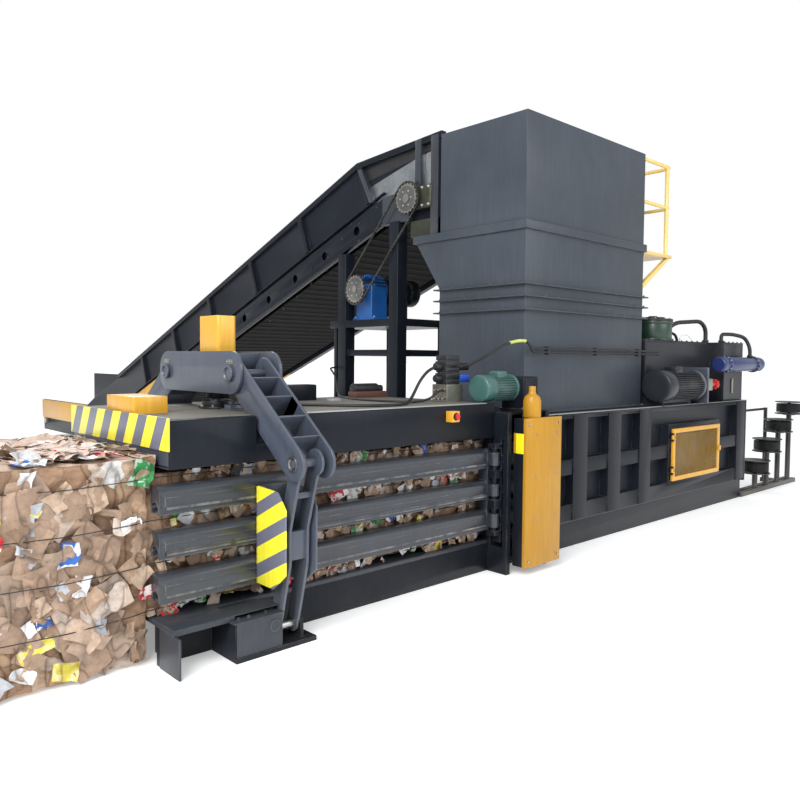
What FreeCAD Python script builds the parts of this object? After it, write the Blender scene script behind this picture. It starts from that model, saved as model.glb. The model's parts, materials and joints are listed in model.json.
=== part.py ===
import FreeCAD, Part
import math
import os
from FreeCAD import Vector

os.makedirs("parts", exist_ok=True)

# Horizontal baler for waste paper and board, fed by a slat conveyor. Sizes in millimetres.
# X runs along the press from the bale exit (-X) to the rear (+X), Y across it and Z up.
# The origin is on the floor, under the middle of the feed hopper.

# Press channel
bale_width = 1100
bale_height = 743
floor_top = 225
floor_plate = 25
side_depth = 100            # depth of the rails and walls outside the bale
chamber_front = -1000
chamber_length = 3900
tie_length = 480
channel_length = 2450
roof_depth = 132
beam_depth = 244
plate = 20                  # wall plate of the welded boxes
slide_gap = 0.3             # between a sliding or swinging piece and its neighbour
fit_gap = 0.05              # radial clearance of a running fit

inner = bale_width / 2
outer = inner + side_depth
roof_bottom = floor_top + bale_height
body_top = roof_bottom + roof_depth
beam_top = roof_bottom + beam_depth
axis_z = (floor_top + roof_bottom) / 2
tie_front = chamber_front - tie_length
exit_x = tie_front - channel_length
rear_x = chamber_front + chamber_length

# Base
skid_width = 170
skid_inset = 50
ledge_length = 325
ledge_reach = 150
cross_height = 120
cross_width = 200
cross_pitch = 1150
foot_reach = 200            # how far the lever foot stands out of the channel side
foot_plate = 25
anchor_r = 11
skid_outer = outer - skid_inset
skid_inner = skid_outer - skid_width

# Bale clamp at the exit
clamp_x = exit_x + 625
crosshead_clear = 106       # under the crosshead, above the deck
crosshead_height = 240
crosshead_corner = 105
crosshead_end = 105         # crosshead beyond its pin
pin_inset = 265             # crosshead pin, in from the channel side
pin_rise = 114              # and up from the crosshead's underside
eye_reach = 305             # pin between arm and lever, out from the channel side
eye_rise = 17               # and up from the channel roof
foot_pin_reach = 105        # lever foot pin
foot_z = 92
arm_width = 180
lever_width = 90
pin_r = 25
eye_pin_r = 22
open_pivot_gap = 3          # the arm eye is larger than its pin by this much all round
crosshead_plates = [(-139, -119), (117, 135)]
arm_plates = [(-115, -97), (75, 93)]
lever_bars = [(-93, -77), (17, 33)]
rung_places = [0.18, 0.40, 0.62, 0.84]
rung_thickness = 12
pocket_gap = 18             # beside the arm, in the deck pocket that it swings into
pocket_reach = 210
pocket_depth = 145
pocket_wall = 30

pin_y = outer - pin_inset
crosshead_half = pin_y + crosshead_end
crosshead_low = beam_top + crosshead_clear
crosshead_high = crosshead_low + crosshead_height
pin_z = crosshead_low + pin_rise
eye_y = outer + eye_reach
eye_z = roof_bottom + eye_rise
foot_y = outer + foot_pin_reach
lever_bend = [(outer + 198, foot_z + 362), (outer + 200, foot_z + 548), (outer + 275, eye_z - 85)]

# Clamp cylinder, a plunger standing on the deck
plunger_r = 44
plunger_flange_r = 82
barrel_r = 59
barrel_wall = 9
barrel_cap = 20
gland_r = 72
gland_height = 40
clamp_stroke = 45
cover_size = (127, 231, 222)
cover_seat = 10             # the cover's foot, below the crosshead's top
cylinder_x = clamp_x - 1.5
barrel_top = crosshead_high + cover_size[2] - 25

# Gates
rail_heights = [143, 131, 141]
rail_spacing = [89, 88, 78, 73]     # from the floor plate, between rails and to the roof
rail_depth = 92
rail_wall = 10
rail_lead = 55              # rails stand this far out of the exit
hinge_back = 40             # hinge axis in front of the tie frame
hinge_out = 40              # and out from the rails
hinge_pin_r = 20
hinge_knuckle_r = 36
lug_gap = 12
thrust_width = 206
thrust_reach = outer + 269
touch_gap = 1.5             # between the lever bars and the gate's thrust box
hinge_x = tie_front - hinge_back
hinge_y = outer + hinge_out

spacing_scale = (bale_height - sum(rail_heights)) / sum(rail_spacing)
rail_gaps = [gap * spacing_scale for gap in rail_spacing]
rail_bottoms = [floor_top + sum(rail_gaps[:i + 1]) + sum(rail_heights[:i]) for i in range(len(rail_heights))]
rail_tops = [low + height for low, height in zip(rail_bottoms, rail_heights)]

# Tie frame: a wire runs at the middle of each gap between the rails
portal_half = outer + 127
portal_top = body_top + 50
portal_plate = 40
wire_step = 5
wire_heights = [wire_step * round((below + above) / 2 / wire_step)
                for below, above in zip([floor_top] + rail_tops, rail_bottoms + [roof_bottom])]
wire_slot = 40
wire_x = tie_front + 360
twister_y = -(inner + 95)
twister_r = 20
hook_r = 36
motor_y = twister_y + 80
motor_z = portal_top + 165
housing_x = (tie_front + 66, chamber_front - 4)
housing_z = (60, portal_top - 40)
housing_reach = portal_half + 110
track_end = portal_half + 1400
track_low = 160
track_high = roof_bottom + 32
track_beam = 60

# Feed hopper
feed_half = 880
feed_half_y = 440
hopper_half = feed_half + 20
hopper_half_y = feed_half_y + 23
hopper_wall = 8
hopper_flange = 12
rib_levels = [1926, 2030, 2126]
flare_bottom = 2126
eave = 2545
eave_band = 70
flare_reach = hopper_half_y + 287
hood_top = 3460
rib_reach = 40

# Ram and main cylinder
ram_face = feed_half + 50
ram_length = rear_x - 2 * plate - 30 - ram_face
ram_gap = 2
ram_plate = 20
ram_front_plate = 40
ram_top_gap = 8
rod_r = 55
bore_r = 90
cylinder_r = 110
gland_length = 30
piston_length = 65
cylinder_cap = 30
cylinder_start = ram_face + 130
cylinder_end = rear_x + 190
flange_reach = 75
flange_plate = 35

# Access door in the near wall
door_end = rear_x - 735
door_start = door_end - 1013
door_low = floor_top + 148
door_high = body_top - 225
door_frame = 42
door_axis = 30              # hinge axis, out from the wall
door_hinge_back = 12        # and beside the door
door_pin_r = 8
hinge_levels = [door_low + 105, door_high - 77]

# Service platform
platform_reach = 560
platform_top = 2570
brace_foot = 2190
handrail_r = 20
handrail_levels = [(3030, 17), (3425, 18)]

# Feed conveyor. Its outline lies in the YZ plane.
wall_half = 830             # inner face of each side wall
wall_plate = 8
head_y = 846
head_z = 2964
drum_r = 119.5
belt_r = 150
belt_thick = 30
belt_half = 740
belt_clear = 30             # under the belt, inside the walls
knee_y = 1230               # where the head section turns into the incline
knee_z = 2795
crest_y = 1620              # where the top rail bends down
foot_bend_y = 8390
tail_low = 120
tail_high = 700
tail_end = 11150
tail_shaft_y = 10900
wall_height = 780           # vertical height of the side wall on the incline
wall_top = 3500
rail_low = 55
band_height = 225
band_depth = 60
band_hole_r = 45
band_hole_pitch = 520
ledge_rise = 60
conveyor_rib_pitch = 1000
shaft_r = 40
sprocket_r = 138
sprocket_teeth = 20
tooth_height = 12
sprocket_thick = 20
chain_gap = 1
chain_thick = 22
chain_width = 24
drive_y = 1563
drive_z = 2199
drive_shaft_r = 30
slope = (knee_z - tail_low) / (foot_bend_y - knee_y)
chain_x = -(wall_half + wall_plate + band_depth + 40)

# Conveyor stand and drive
platform_z = 1900
stand_half = 60
stand_y = (1040, 1800)
stand_x = (-wall_half - 30, -200)
stand_bar = 1550
thin_post_y = 1950
thin_half = 22
reducer_x = (-wall_half + 20, -wall_half + 200)
drive_motor_r = 105

# Oil tank, pump, cooler and valves
tank_x = (hopper_half + 120, rear_x - 10)
tank_high = body_top + 630
tank_near = -(outer - 210)
tank_far = outer - 150
step_near = -(outer - 50)
step_length = 480
filter_r = 190
filter_x = tank_x[0] + 480
filter_y = -250
pump_start = hopper_half + 30
pump_y = -(outer - 45)
pump_z = body_top + 186
pump_motor_r = 130
knob_r = 52
cooler_y = -(outer + 40)
cooler_z = body_top + 395
cooler_r = 77
cooler_x = (rear_x - 840, rear_x + 190)
pipe_levels = (1585, 1612)
valve_x = (tie_front - 250, tie_front - 80)
valve_y = (-420, -270)
estop_x = (tie_front - 500, tie_front - 427)
estop_z = (beam_top - 107, beam_top - 34)
estop_depth = 58
stem_r = 8

# Wire reels
reel_pitch = 343
reel_first = 545            # from the rear plate to the first reel
reel_y = -550
reel_r = 165
reel_height = 160
reel_tops = [370, 600, 820, 1025]
reel_post_r = 30
spindle_r = 18
guide_height = 945

# Pressed waste
bale_gap = 4
bale_swell = 8
bale_length = 780           # the length that stands out of the exit
bale_top = roof_bottom + 77


def box(x0, x1, y0, y1, z0, z1):
    return Part.makeBox(x1 - x0, y1 - y0, z1 - z0, Vector(x0, y0, z0))


def rod_x(x0, x1, y, z, r):
    return Part.makeCylinder(r, x1 - x0, Vector(x0, y, z), Vector(1, 0, 0))


def rod_y(y0, y1, x, z, r):
    return Part.makeCylinder(r, y1 - y0, Vector(x, y0, z), Vector(0, 1, 0))


def rod_z(z0, z1, x, y, r):
    return Part.makeCylinder(r, z1 - z0, Vector(x, y, z0), Vector(0, 0, 1))


def prism(points, along, start, end):
    """Polygon in the plane across X, Y or Z, drawn out from start to end."""
    place = {"x": lambda a, b: Vector(start, a, b),
             "y": lambda a, b: Vector(a, start, b),
             "z": lambda a, b: Vector(a, b, start)}[along]
    step = {"x": Vector(1, 0, 0), "y": Vector(0, 1, 0), "z": Vector(0, 0, 1)}[along]
    corners = [place(a, b) for a, b in points]
    return Part.Face(Part.makePolygon(corners + corners[:1])).extrude(step * (end - start))


def join(*shapes):
    shapes = [s for item in shapes for s in (item if isinstance(item, list) else [item])]
    return shapes[0].multiFuse(shapes[1:]).removeSplitter() if len(shapes) > 1 else shapes[0]


def cut(shape, *tools):
    tools = [t for item in tools for t in (item if isinstance(item, list) else [item])]
    return shape.cut(tools[0]) if len(tools) == 1 else shape.cut(tools)


def flip(shape):
    """The same piece on the other side of the press."""
    return shape.mirror(Vector(0, 0, 0), Vector(0, 1, 0))


def lengths(shape, *places):
    """The solids left when a shape is sawn across X at the places, so that each is of simple form."""
    size = shape.BoundBox
    edges = [size.XMin - 1, *places, size.XMax + 1]
    slabs = [box(a, b, size.YMin - 1, size.YMax + 1, size.ZMin - 1, size.ZMax + 1)
             for a, b in zip(edges, edges[1:])]
    return [solid for slab in slabs for solid in shape.common(slab).Solids]


def link(points, width, x0, x1):
    """A bar across X that follows (y, z) points, with round ends and elbows."""
    pieces = [rod_x(x0, x1, y, z, width / 2) for y, z in points]
    for (y0, z0), (y1, z1) in zip(points, points[1:]):
        length = math.hypot(y1 - y0, z1 - z0)
        side_y = -(z1 - z0) / length * width / 2
        side_z = (y1 - y0) / length * width / 2
        pieces.append(prism([(y0 + side_y, z0 + side_z), (y1 + side_y, z1 + side_z),
                             (y1 - side_y, z1 - side_z), (y0 - side_y, z0 - side_z)], "x", x0, x1))
    return join(pieces)


def tube_path(points, radius, bend=None):
    """A round tube along straight runs joined by tangent arcs of radius bend, and the arc radii.

    Without bend each arc is as wide as its runs allow.
    """
    points = [Vector(*p) for p in points]
    edges, radii = [], []
    start = points[0]
    for before, corner, after in zip(points, points[1:], points[2:]):
        run_in, run_out = corner - before, after - corner
        turn = run_in.getAngle(run_out)
        room = 0.45 * min(run_in.Length, run_out.Length)
        setback = min(room, bend * math.tan(turn / 2)) if bend else room
        radii.append(setback / math.tan(turn / 2))
        into = Vector(run_in).normalize()
        out = Vector(run_out).normalize()
        arc_start = corner - into * setback
        arc_end = corner + out * setback
        middle_way = (out - into).normalize()
        reach = radii[-1] / math.cos(turn / 2) - radii[-1]
        edges.append(Part.LineSegment(start, arc_start).toShape())
        edges.append(Part.Arc(arc_start, corner + middle_way * reach, arc_end).toShape())
        start = arc_end
    edges.append(Part.LineSegment(start, points[-1]).toShape())
    wire = Part.Wire(edges)
    section = Part.Wire(Part.makeCircle(radius, points[0], points[1] - points[0]))
    return wire.makePipeShell([section], True, False), radii


def save(name, *solids):
    shape = solids[0] if len(solids) == 1 else Part.makeCompound(list(solids))
    shape.exportStep(f"parts/{name}.step")


def both_sides(shape):
    return [shape, flip(shape)]


# Press frame

def base_frame():
    top = floor_top - floor_plate
    skid = box(exit_x + 20, rear_x, skid_inner, skid_outer, 0, top)
    post = box(exit_x - 45, exit_x + 45, skid_outer - 10, outer, 0, top)
    sides = both_sides(skid) + both_sides(post)
    places = [i * cross_pitch for i in range(-3, 3)]
    crosses = [box(x - cross_width / 2, x + cross_width / 2, -skid_inner - 10, skid_inner + 10, 0, cross_height)
               for x in places if exit_x + cross_width < x < rear_x - cross_width / 2]
    return join(sides, crosses, both_sides(lever_bracket()))


def lever_bracket():
    """Foot plate, stiffening box and two pin lugs of one clamp lever, on the far side."""
    start, end = clamp_x - 375, clamp_x + 115
    reach = outer + foot_reach
    foot = box(start, end, skid_outer - 10, reach, 0, foot_plate)
    block = box(start, clamp_x + lever_bars[0][0] - 32, skid_outer, reach - 10, 20, floor_top - floor_plate)
    lugs = []
    front, back = lever_bars[0][0] - 4, lever_bars[1][1] + 4
    for x0, x1 in ((front - 18, front), (back, back + 18)):
        lug = join(rod_x(clamp_x + x0, clamp_x + x1, foot_y, foot_z, 58),
                   box(clamp_x + x0, clamp_x + x1, foot_y - 58, foot_y + 58, 20, foot_z))
        lugs.append(lug)
    pin_hole = rod_x(clamp_x - 130, clamp_x + 60, foot_y, foot_z, pin_r)
    anchors = [rod_z(-1, foot_plate + 1, clamp_x + 85, y, anchor_r) for y in (foot_y - 60, foot_y + 60)]
    return cut(join(foot, block, lugs), pin_hole, anchors)


def press_floor():
    start = exit_x - rail_lead
    floor = box(start, rear_x - 2 * plate, -skid_outer, skid_outer, floor_top - floor_plate, floor_top)
    wing = box(start, start + ledge_length, skid_outer - 1, outer + ledge_reach,
               floor_top - floor_plate, floor_top)
    return join(floor, both_sides(wing))


def top_beam():
    """Box girder over the channel, in three lengths.

    The clamp arms swing into the cut corners of the middle one.
    """
    x0 = clamp_x + arm_plates[0][0] - pocket_gap
    x1 = clamp_x + arm_plates[1][1] + pocket_gap
    edge = outer - pocket_reach
    foot = beam_top - pocket_depth
    shell = box(exit_x, tie_front, -outer, outer, roof_bottom, beam_top)
    room = box(exit_x - 1, tie_front + 1, -outer + plate, outer - plate, roof_bottom + plate, beam_top - plate)
    web = box(exit_x, tie_front, -plate / 2, plate / 2, roof_bottom, beam_top)
    lining = prism([(edge - pocket_wall, beam_top), (outer, foot - plate - 1), (outer, beam_top)],
                   "x", x0 - plate, x1 + plate)
    pocket = prism([(edge, beam_top + 1), (outer + 1, foot), (outer + 1, beam_top + 1)], "x", x0, x1)
    return lengths(cut(join(cut(shell, room), web, both_sides(lining)), both_sides(pocket)), x0, x1)


def hazard_plate():
    return box(exit_x - 12, exit_x, -outer - 5, outer + 5, roof_bottom + 92, beam_top + 13)


def front_cover():
    wall = 4
    x0, x1, y0, y1, high = exit_x + 20, exit_x + 210, -193, 175, beam_top + 95
    return cut(box(x0, x1, y0, y1, beam_top, high),
               box(x0 + wall, x1 - wall, y0 + wall, y1 - wall, beam_top - 1, high - wall))


def wall_ribs(start, end, skip):
    """Upright ribs and bands on the outside of the far wall; skip holds the door's span."""
    low, high = floor_top, body_top
    ribs = []
    count = int((end - start) // 520)
    pitch = (end - start - 200) / count
    for i in range(count + 1):
        x = start + i * pitch
        if skip and skip[0] - 200 < x < skip[1]:
            continue
        ribs.append(box(x, x + 200, inner + plate, outer, low, high))
    bands = [(low + 377, low + 498), (low, low + 133), (high - 45, high)]
    for z0, z1 in bands:
        spans = [(start, end)]
        if skip and z1 > door_low and z0 < door_high:
            spans = [(start, skip[0]), (skip[1], end)]
        ribs += [box(x0, x1, inner + plate, outer - 8, z0, z1) for x0, x1 in spans]
    return ribs


def far_wall():
    end = rear_x - 2 * plate
    return join(box(chamber_front, end, inner, inner + plate, floor_top, body_top),
                wall_ribs(chamber_front, end, None))


def near_wall():
    end = rear_x - 2 * plate
    jamb = 45
    skip = (door_start - jamb, door_end + jamb)
    skin = box(chamber_front, end, inner, inner + plate, floor_top, body_top)
    frame = box(skip[0], skip[1], inner + plate, outer, door_low - jamb, door_high + jamb)
    opening = box(door_start + door_frame, door_end - door_frame, inner - 1, outer + 1,
                  door_low + door_frame, door_high - door_frame)
    flange = box(chamber_front + 256, chamber_front + 1700, outer - 8, outer + 30, body_top - 15, body_top)
    wall = join(skin, wall_ribs(chamber_front, end, skip), frame, flange, hinge_lugs())
    return flip(cut(wall, opening))


def hinge_lugs():
    """Two lugs and a pin at each door hinge, on the far side like the wall before it is turned over."""
    x, y = door_start - door_hinge_back, outer + door_axis
    parts = []
    for level in hinge_levels:
        for z in (level - 38, level + 22):
            parts.append(rod_z(z, z + 16, x, y, 11.5))
            parts.append(box(x - 11.5, x + 11.5, outer - 2, y, z, z + 16))
        parts.append(rod_z(level - 38, level + 38, x, y, door_pin_r))
    return parts


def chamber_roof():
    """Roof box with the feed opening; the rear part is hollow."""
    whole = box(chamber_front, rear_x - 2 * plate, -inner, inner, roof_bottom, body_top)
    opening = box(-feed_half, feed_half, -feed_half_y, feed_half_y, roof_bottom - 1, body_top + 1)
    hollow = box(feed_half + plate, rear_x, -inner + plate, inner - plate,
                 roof_bottom + plate, body_top - plate)
    return cut(whole, opening, hollow)


def rear_plate():
    z = (floor_top + roof_bottom) / 2
    slab = box(rear_x - 2 * plate, rear_x, -outer, outer, floor_top - floor_plate, body_top)
    return cut(slab, rod_x(rear_x - 50, rear_x + 1, 0, z, cylinder_r))


# Tie frame and tying gear

def tie_frame():
    portals = []
    for x0 in (tie_front, chamber_front - portal_plate):
        x1 = x0 + portal_plate
        column = join(box(x0, x1, skid_outer, portal_half, 0, portal_top),
                      box(x0, x1, inner, portal_half, floor_top, portal_top))
        windows = [box(x0 - 1, x1 + 1, skid_outer + 25, portal_half - 40, z - 85, z + 85) for z in wire_heights]
        head = box(x0, x1, -portal_half, portal_half, roof_bottom, portal_top)
        portals += both_sides(cut(column, windows)) + [head]
    mid0, mid1 = tie_front + portal_plate - 1, chamber_front - portal_plate + 1
    edges = [floor_top] + [z + s for z in wire_heights for s in (-wire_slot / 2, wire_slot / 2)] + [roof_bottom]
    guides = []
    for z0, z1 in zip(edges[::2], edges[1::2]):
        guides += both_sides(box(mid0, mid1, inner, inner + 25, z0, z1))
    span = portal_half - 24
    tread = box(mid0, mid1, -span, span, roof_bottom, roof_bottom + plate)
    deck = box(mid0, mid1, -span, span, portal_top - plate, portal_top)
    shelf = both_sides(box(mid0, mid1, skid_outer, portal_half, 100, 120))
    bearings = [rod_z(z - 1, z + plate + 1, wire_x, twister_y, twister_r + fit_gap)
                for z in (100, roof_bottom, portal_top - plate)]
    return cut(join(portals, guides, tread, deck, shelf), bearings)


def tie_housing():
    wall = 4
    body = box(*housing_x, portal_half, housing_reach, *housing_z)
    room = box(housing_x[0] + wall, housing_x[1] - wall, portal_half - 1, housing_reach - wall,
               housing_z[0] + wall, housing_z[1] - wall)
    return flip(cut(body, room))


def tie_guard():
    """Tray that hangs over the housing, the bottle-shaped cap on its top and the sensor plate."""
    wall, fold = 3, 24
    x0, x1 = housing_x[0] - slide_gap, housing_x[1] + slide_gap
    y1, z1 = housing_reach + slide_gap, housing_z[1] + slide_gap
    z0 = housing_z[0] - slide_gap
    tray = cut(box(x0 - wall, x1 + wall, y1 - fold, y1 + wall, z0 - wall, z1 + wall),
               box(x0, x1, y1 - fold - 1, y1, z0, z1))
    sensor = box(x0 - 4, x0, portal_half + 2, y1 - fold - 2,
                 housing_z[1] - 246, housing_z[1] - 104)
    return [flip(tray), cap_guard(z1 + wall), flip(sensor)]


def cap_guard(base):
    x, y = housing_x[0] + 145, -(portal_half + 45)
    body_r, neck_r, wall = 64, 25, 3
    steps = [(body_r, base), (body_r, base + 118), (54, base + 148), (neck_r + 4, base + 168),
             (neck_r, base + 182), (neck_r, base + 222)]
    outside = [(x + r, z) for r, z in steps] + [(x, steps[-1][1]), (x, base)]
    inside = [(x + r - wall, z - wall) for r, z in steps] + [(x, steps[-1][1] - wall), (x, base - wall)]
    turned = []
    for outline in (outside, inside):
        corners = [Vector(a, y, b) for a, b in outline]
        face = Part.Face(Part.makePolygon(corners + corners[:1]))
        turned.append(face.revolve(Vector(x, y, 0), Vector(0, 0, 1), 360))
    return cut(turned[0], turned[1])


def twister_shaft():
    """Upright shaft with a notched hook disc at each wire."""
    shaft = rod_z(100, portal_top + 48, wire_x, twister_y, twister_r)
    discs = []
    for z in wire_heights:
        disc = rod_z(z - 8, z + 8, wire_x, twister_y, hook_r)
        notch = box(wire_x - 6, wire_x + 6, twister_y + twister_r + 4, twister_y + hook_r + 1, z - 9, z + 9)
        discs.append(cut(disc, notch))
    return join([shaft] + discs)


def ribs_round(x0, x1, y, z, inside, outside, count):
    """Cooling ribs along X, set evenly round a motor body."""
    ribs = []
    for i in range(count):
        rib = box(x0, x1, -3, 3, inside, outside)
        rib.rotate(Vector(0, 0, 0), Vector(1, 0, 0), i * 360 / count)
        rib.translate(Vector(0, y, z))
        ribs.append(rib)
    return ribs


def fan_cowl(x0, x1, y, z, r, wall):
    """Cowl with its closed end at x0, and the boss that it is held by."""
    shell = cut(rod_x(x0, x1, y, z, r), rod_x(x0 + wall, x1 + 1, y, z, r - wall))
    return join(shell, rod_x(x0 + wall - 1, x1, y, z, r / 4))


def twister_motor():
    """Gear housing over the twister shaft, the ribbed motor and its fan cowl."""
    start = wire_x - 82
    housing = cut(box(start, wire_x + 82, twister_y - 60, motor_y + 80, portal_top, motor_z + 85),
                  rod_z(portal_top - 1, portal_top + 60, wire_x, twister_y, twister_r + fit_gap))
    flange = rod_x(start - 22, start, motor_y, motor_z, 100)
    body = rod_x(start - 260, start - 22, motor_y, motor_z, 84)
    terminal = box(start - 190, start - 90, motor_y - 45, motor_y + 45, motor_z + 70, motor_z + 125)
    ribs = ribs_round(start - 250, start - 30, motor_y, motor_z, 80, 95, 16)
    return [join([housing, flange, body, terminal] + ribs),
            fan_cowl(start - 350, start - 260, motor_y, motor_z, 98, 4)]


def needle_track():
    """Two beams that carry the needle carriage on the far side, and their end legs."""
    half = 120
    beams = [box(wire_x - half, wire_x + half, portal_half, track_end, z, z + track_beam)
             for z in (track_low - track_beam, track_high)]
    legs = [box(x, x + 50, track_end - 50, track_end, 0, track_high + 1)
            for x in (wire_x - half, wire_x + half - 50)]
    return join(beams, legs)


def needle_carriage():
    """Carriage plate with four needles that point at the channel."""
    y = track_end - 200
    frame = box(wire_x - 110, wire_x + 110, y, y + 40, track_low + slide_gap, track_high - slide_gap)
    needles = []
    for z in wire_heights:
        shape = [(inner + 50, z - 2), (inner + 130, z - 12), (y + 1, z - 12), (y + 1, z + 12),
                 (inner + 50, z + 2)]
        needles.append(prism(shape, "x", wire_x - 8, wire_x + 8))
    return join([frame] + needles)


# Ram and its cylinder

def ram():
    """Hollow box, open at the rear; its long top closes the feed opening when it is forward."""
    half = inner - ram_gap
    low, high = floor_top + slide_gap, roof_bottom - ram_top_gap
    body = box(ram_face, ram_face + ram_length, -half, half, low, high)
    room = box(ram_face + ram_front_plate, ram_face + ram_length + 1, -half + ram_plate, half - ram_plate,
               low + ram_plate, high - ram_plate)
    return cut(body, room)


def piston_rod():
    """Rod with its boss on the ram's front plate and the piston at its rear end."""
    start = ram_face + ram_front_plate
    piston_end = cylinder_end - cylinder_cap - 10
    return join(rod_x(start, start + 35, 0, axis_z, 100),
                rod_x(start, piston_end, 0, axis_z, rod_r),
                rod_x(piston_end - piston_length, piston_end, 0, axis_z, bore_r - fit_gap))


def ram_cylinder():
    barrel = rod_x(cylinder_start, cylinder_end, 0, axis_z, cylinder_r)
    bore = rod_x(cylinder_start + gland_length, cylinder_end - cylinder_cap, 0, axis_z, bore_r)
    gland = rod_x(cylinder_start - 1, cylinder_start + gland_length + 1, 0, axis_z, rod_r + fit_gap)
    flange = rod_x(rear_x, rear_x + flange_plate, 0, axis_z, cylinder_r + flange_reach)
    port = rod_z(axis_z + cylinder_r - 5, axis_z + cylinder_r + 45, rear_x + 90, 0, 22)
    return cut(join(barrel, flange, port), bore, gland)


# Bale clamp

def crosshead():
    """Two rounded plates, the box between them and the two arm pins."""
    mid_z = (crosshead_low + crosshead_high) / 2
    flat = crosshead_half - crosshead_corner
    plates = []
    for x0, x1 in crosshead_plates:
        x0, x1 = clamp_x + x0, clamp_x + x1
        shape = join([box(x0, x1, -flat, flat, crosshead_low, crosshead_high),
                      box(x0, x1, -crosshead_half, crosshead_half, crosshead_low + crosshead_corner,
                          crosshead_high - crosshead_corner)] +
                     [rod_x(x0, x1, sy * flat, mid_z + sz * (mid_z - crosshead_low - crosshead_corner),
                            crosshead_corner) for sy in (-1, 1) for sz in (-1, 1)])
        plates.append(shape)
    x0, x1 = clamp_x + crosshead_plates[0][1], clamp_x + crosshead_plates[1][0]
    half = pin_y - arm_width / 2 - 12
    core = cut(box(x0, x1, -half, half, crosshead_low, crosshead_high - 10),
               box(x0 - 1, x1 + 1, -half + plate, half - plate,
                   crosshead_low + plate, crosshead_high - 10 - plate))
    webs = [box(x0, x1, s * 90 - 8, s * 90 + 8, crosshead_low + 1, crosshead_high - 11) for s in (-1, 1)]
    body = join(plates, core, webs)
    pin_holes = [rod_x(clamp_x - 200, clamp_x + 200, s * pin_y, pin_z, pin_r) for s in (-1, 1)]
    barrel_hole = rod_z(crosshead_low - 1, crosshead_high, cylinder_x, 0, barrel_r)
    body = lengths(cut(body, pin_holes, barrel_hole), x0, x1)
    front, back = clamp_x + crosshead_plates[0][0], clamp_x + crosshead_plates[1][1]
    pins = [join(rod_x(front - 6, back + 6, s * pin_y, pin_z, pin_r),
                 rod_x(front - 14, front, s * pin_y, pin_z, pin_r + 12)) for s in (-1, 1)]
    return body + pins


def clamp_cylinder():
    """Barrel with its gland ring under the crosshead and a closed top."""
    tube = join(rod_z(crosshead_low - gland_height, barrel_top, cylinder_x, 0, barrel_r),
                rod_z(crosshead_low - gland_height, crosshead_low, cylinder_x, 0, gland_r))
    return cut(tube, rod_z(crosshead_low, barrel_top - barrel_cap, cylinder_x, 0, barrel_r - barrel_wall),
               rod_z(crosshead_low - gland_height - 1, crosshead_low + 1, cylinder_x, 0, plunger_r + fit_gap))


def clamp_rod():
    """Plunger that stands on the deck by its flange."""
    top = barrel_top - 2 * barrel_cap - clamp_stroke
    return join(rod_z(beam_top, beam_top + 12, cylinder_x, 0, plunger_flange_r),
                rod_z(beam_top, top, cylinder_x, 0, plunger_r),
                box(cylinder_x + plunger_flange_r - 4, cylinder_x + 115, -20, 20, beam_top, beam_top + 34))


def cylinder_cover():
    """Sheet cover over the barrel, with rounded upright corners and an open bottom."""
    depth, width, height = cover_size
    corner, wall = 22, 3
    low = crosshead_high - cover_seat

    def rounded(half_x, half_y, r, z0, z1):
        return join([box(cylinder_x - half_x + r, cylinder_x + half_x - r, -half_y, half_y, z0, z1),
                     box(cylinder_x - half_x, cylinder_x + half_x, -half_y + r, half_y - r, z0, z1)] +
                    [rod_z(z0, z1, cylinder_x + sx * (half_x - r), sy * (half_y - r), r)
                     for sx in (-1, 1) for sy in (-1, 1)])

    outside = rounded(depth / 2, width / 2, corner, low, low + height)
    inside = rounded(depth / 2 - wall, width / 2 - wall, corner - wall, low - 1, low + height - wall)
    return cut(outside, inside)


def arm():
    """Ladder arm on the far side: two plates and the rungs between them."""
    run = Vector(0, eye_y - pin_y, eye_z - pin_z)
    length = run.Length
    ends = [(pin_y, pin_z), (eye_y, eye_z)]
    plates = [link(ends, arm_width, clamp_x + x0, clamp_x + x1) for x0, x1 in arm_plates]
    turn = math.degrees(math.atan2(run.z, run.y))
    x0, x1 = clamp_x + arm_plates[0][1] - 1, clamp_x + arm_plates[1][0] + 1
    rungs = []
    for share in rung_places:
        along = share * length
        rung = box(x0, x1, along, along + rung_thickness, -arm_width / 2 + 6, arm_width / 2 - 6)
        rung.rotate(Vector(0, 0, 0), Vector(1, 0, 0), turn)
        rung.translate(Vector(0, pin_y, pin_z))
        rungs.append(rung)
    holes = [rod_x(clamp_x - 200, clamp_x + 200, pin_y, pin_z, pin_r + fit_gap),
             rod_x(clamp_x - 200, clamp_x + 200, eye_y, eye_z, eye_pin_r + open_pivot_gap)]
    return lengths(cut(join(plates + rungs), holes), x0 + 1, x1 - 1)


def lever():
    """Two bent bars with spacers, and the eye pin that the arm hangs on."""
    points = [(foot_y, foot_z)] + lever_bend + [(eye_y, eye_z)]
    bars = []
    for x0, x1 in lever_bars:
        bar = join(link(points, lever_width, clamp_x + x0, clamp_x + x1),
                   rod_x(clamp_x + x0, clamp_x + x1, eye_y, eye_z, 70))
        bars.append(bar)
    x0, x1 = clamp_x + lever_bars[0][1] - 1, clamp_x + lever_bars[1][0] + 1
    (low_y, low_z), (_, middle_z) = lever_bend[:2]
    spacers = [box(x0, x1, low_y - 30, low_y + 30, low_z + 16, middle_z - 20),
               box(x0, x1, outer + 225, outer + 275, eye_z - 185, eye_z - 155)]
    body = cut(join(bars + spacers), rod_x(clamp_x - 200, clamp_x + 200, foot_y, foot_z, pin_r + fit_gap),
               rod_x(clamp_x - 200, clamp_x + 200, eye_y, eye_z, eye_pin_r))
    pin = rod_x(clamp_x + arm_plates[0][0] - 5, clamp_x + arm_plates[1][1] + 5, eye_y, eye_z, eye_pin_r)
    return [body, pin]


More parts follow.
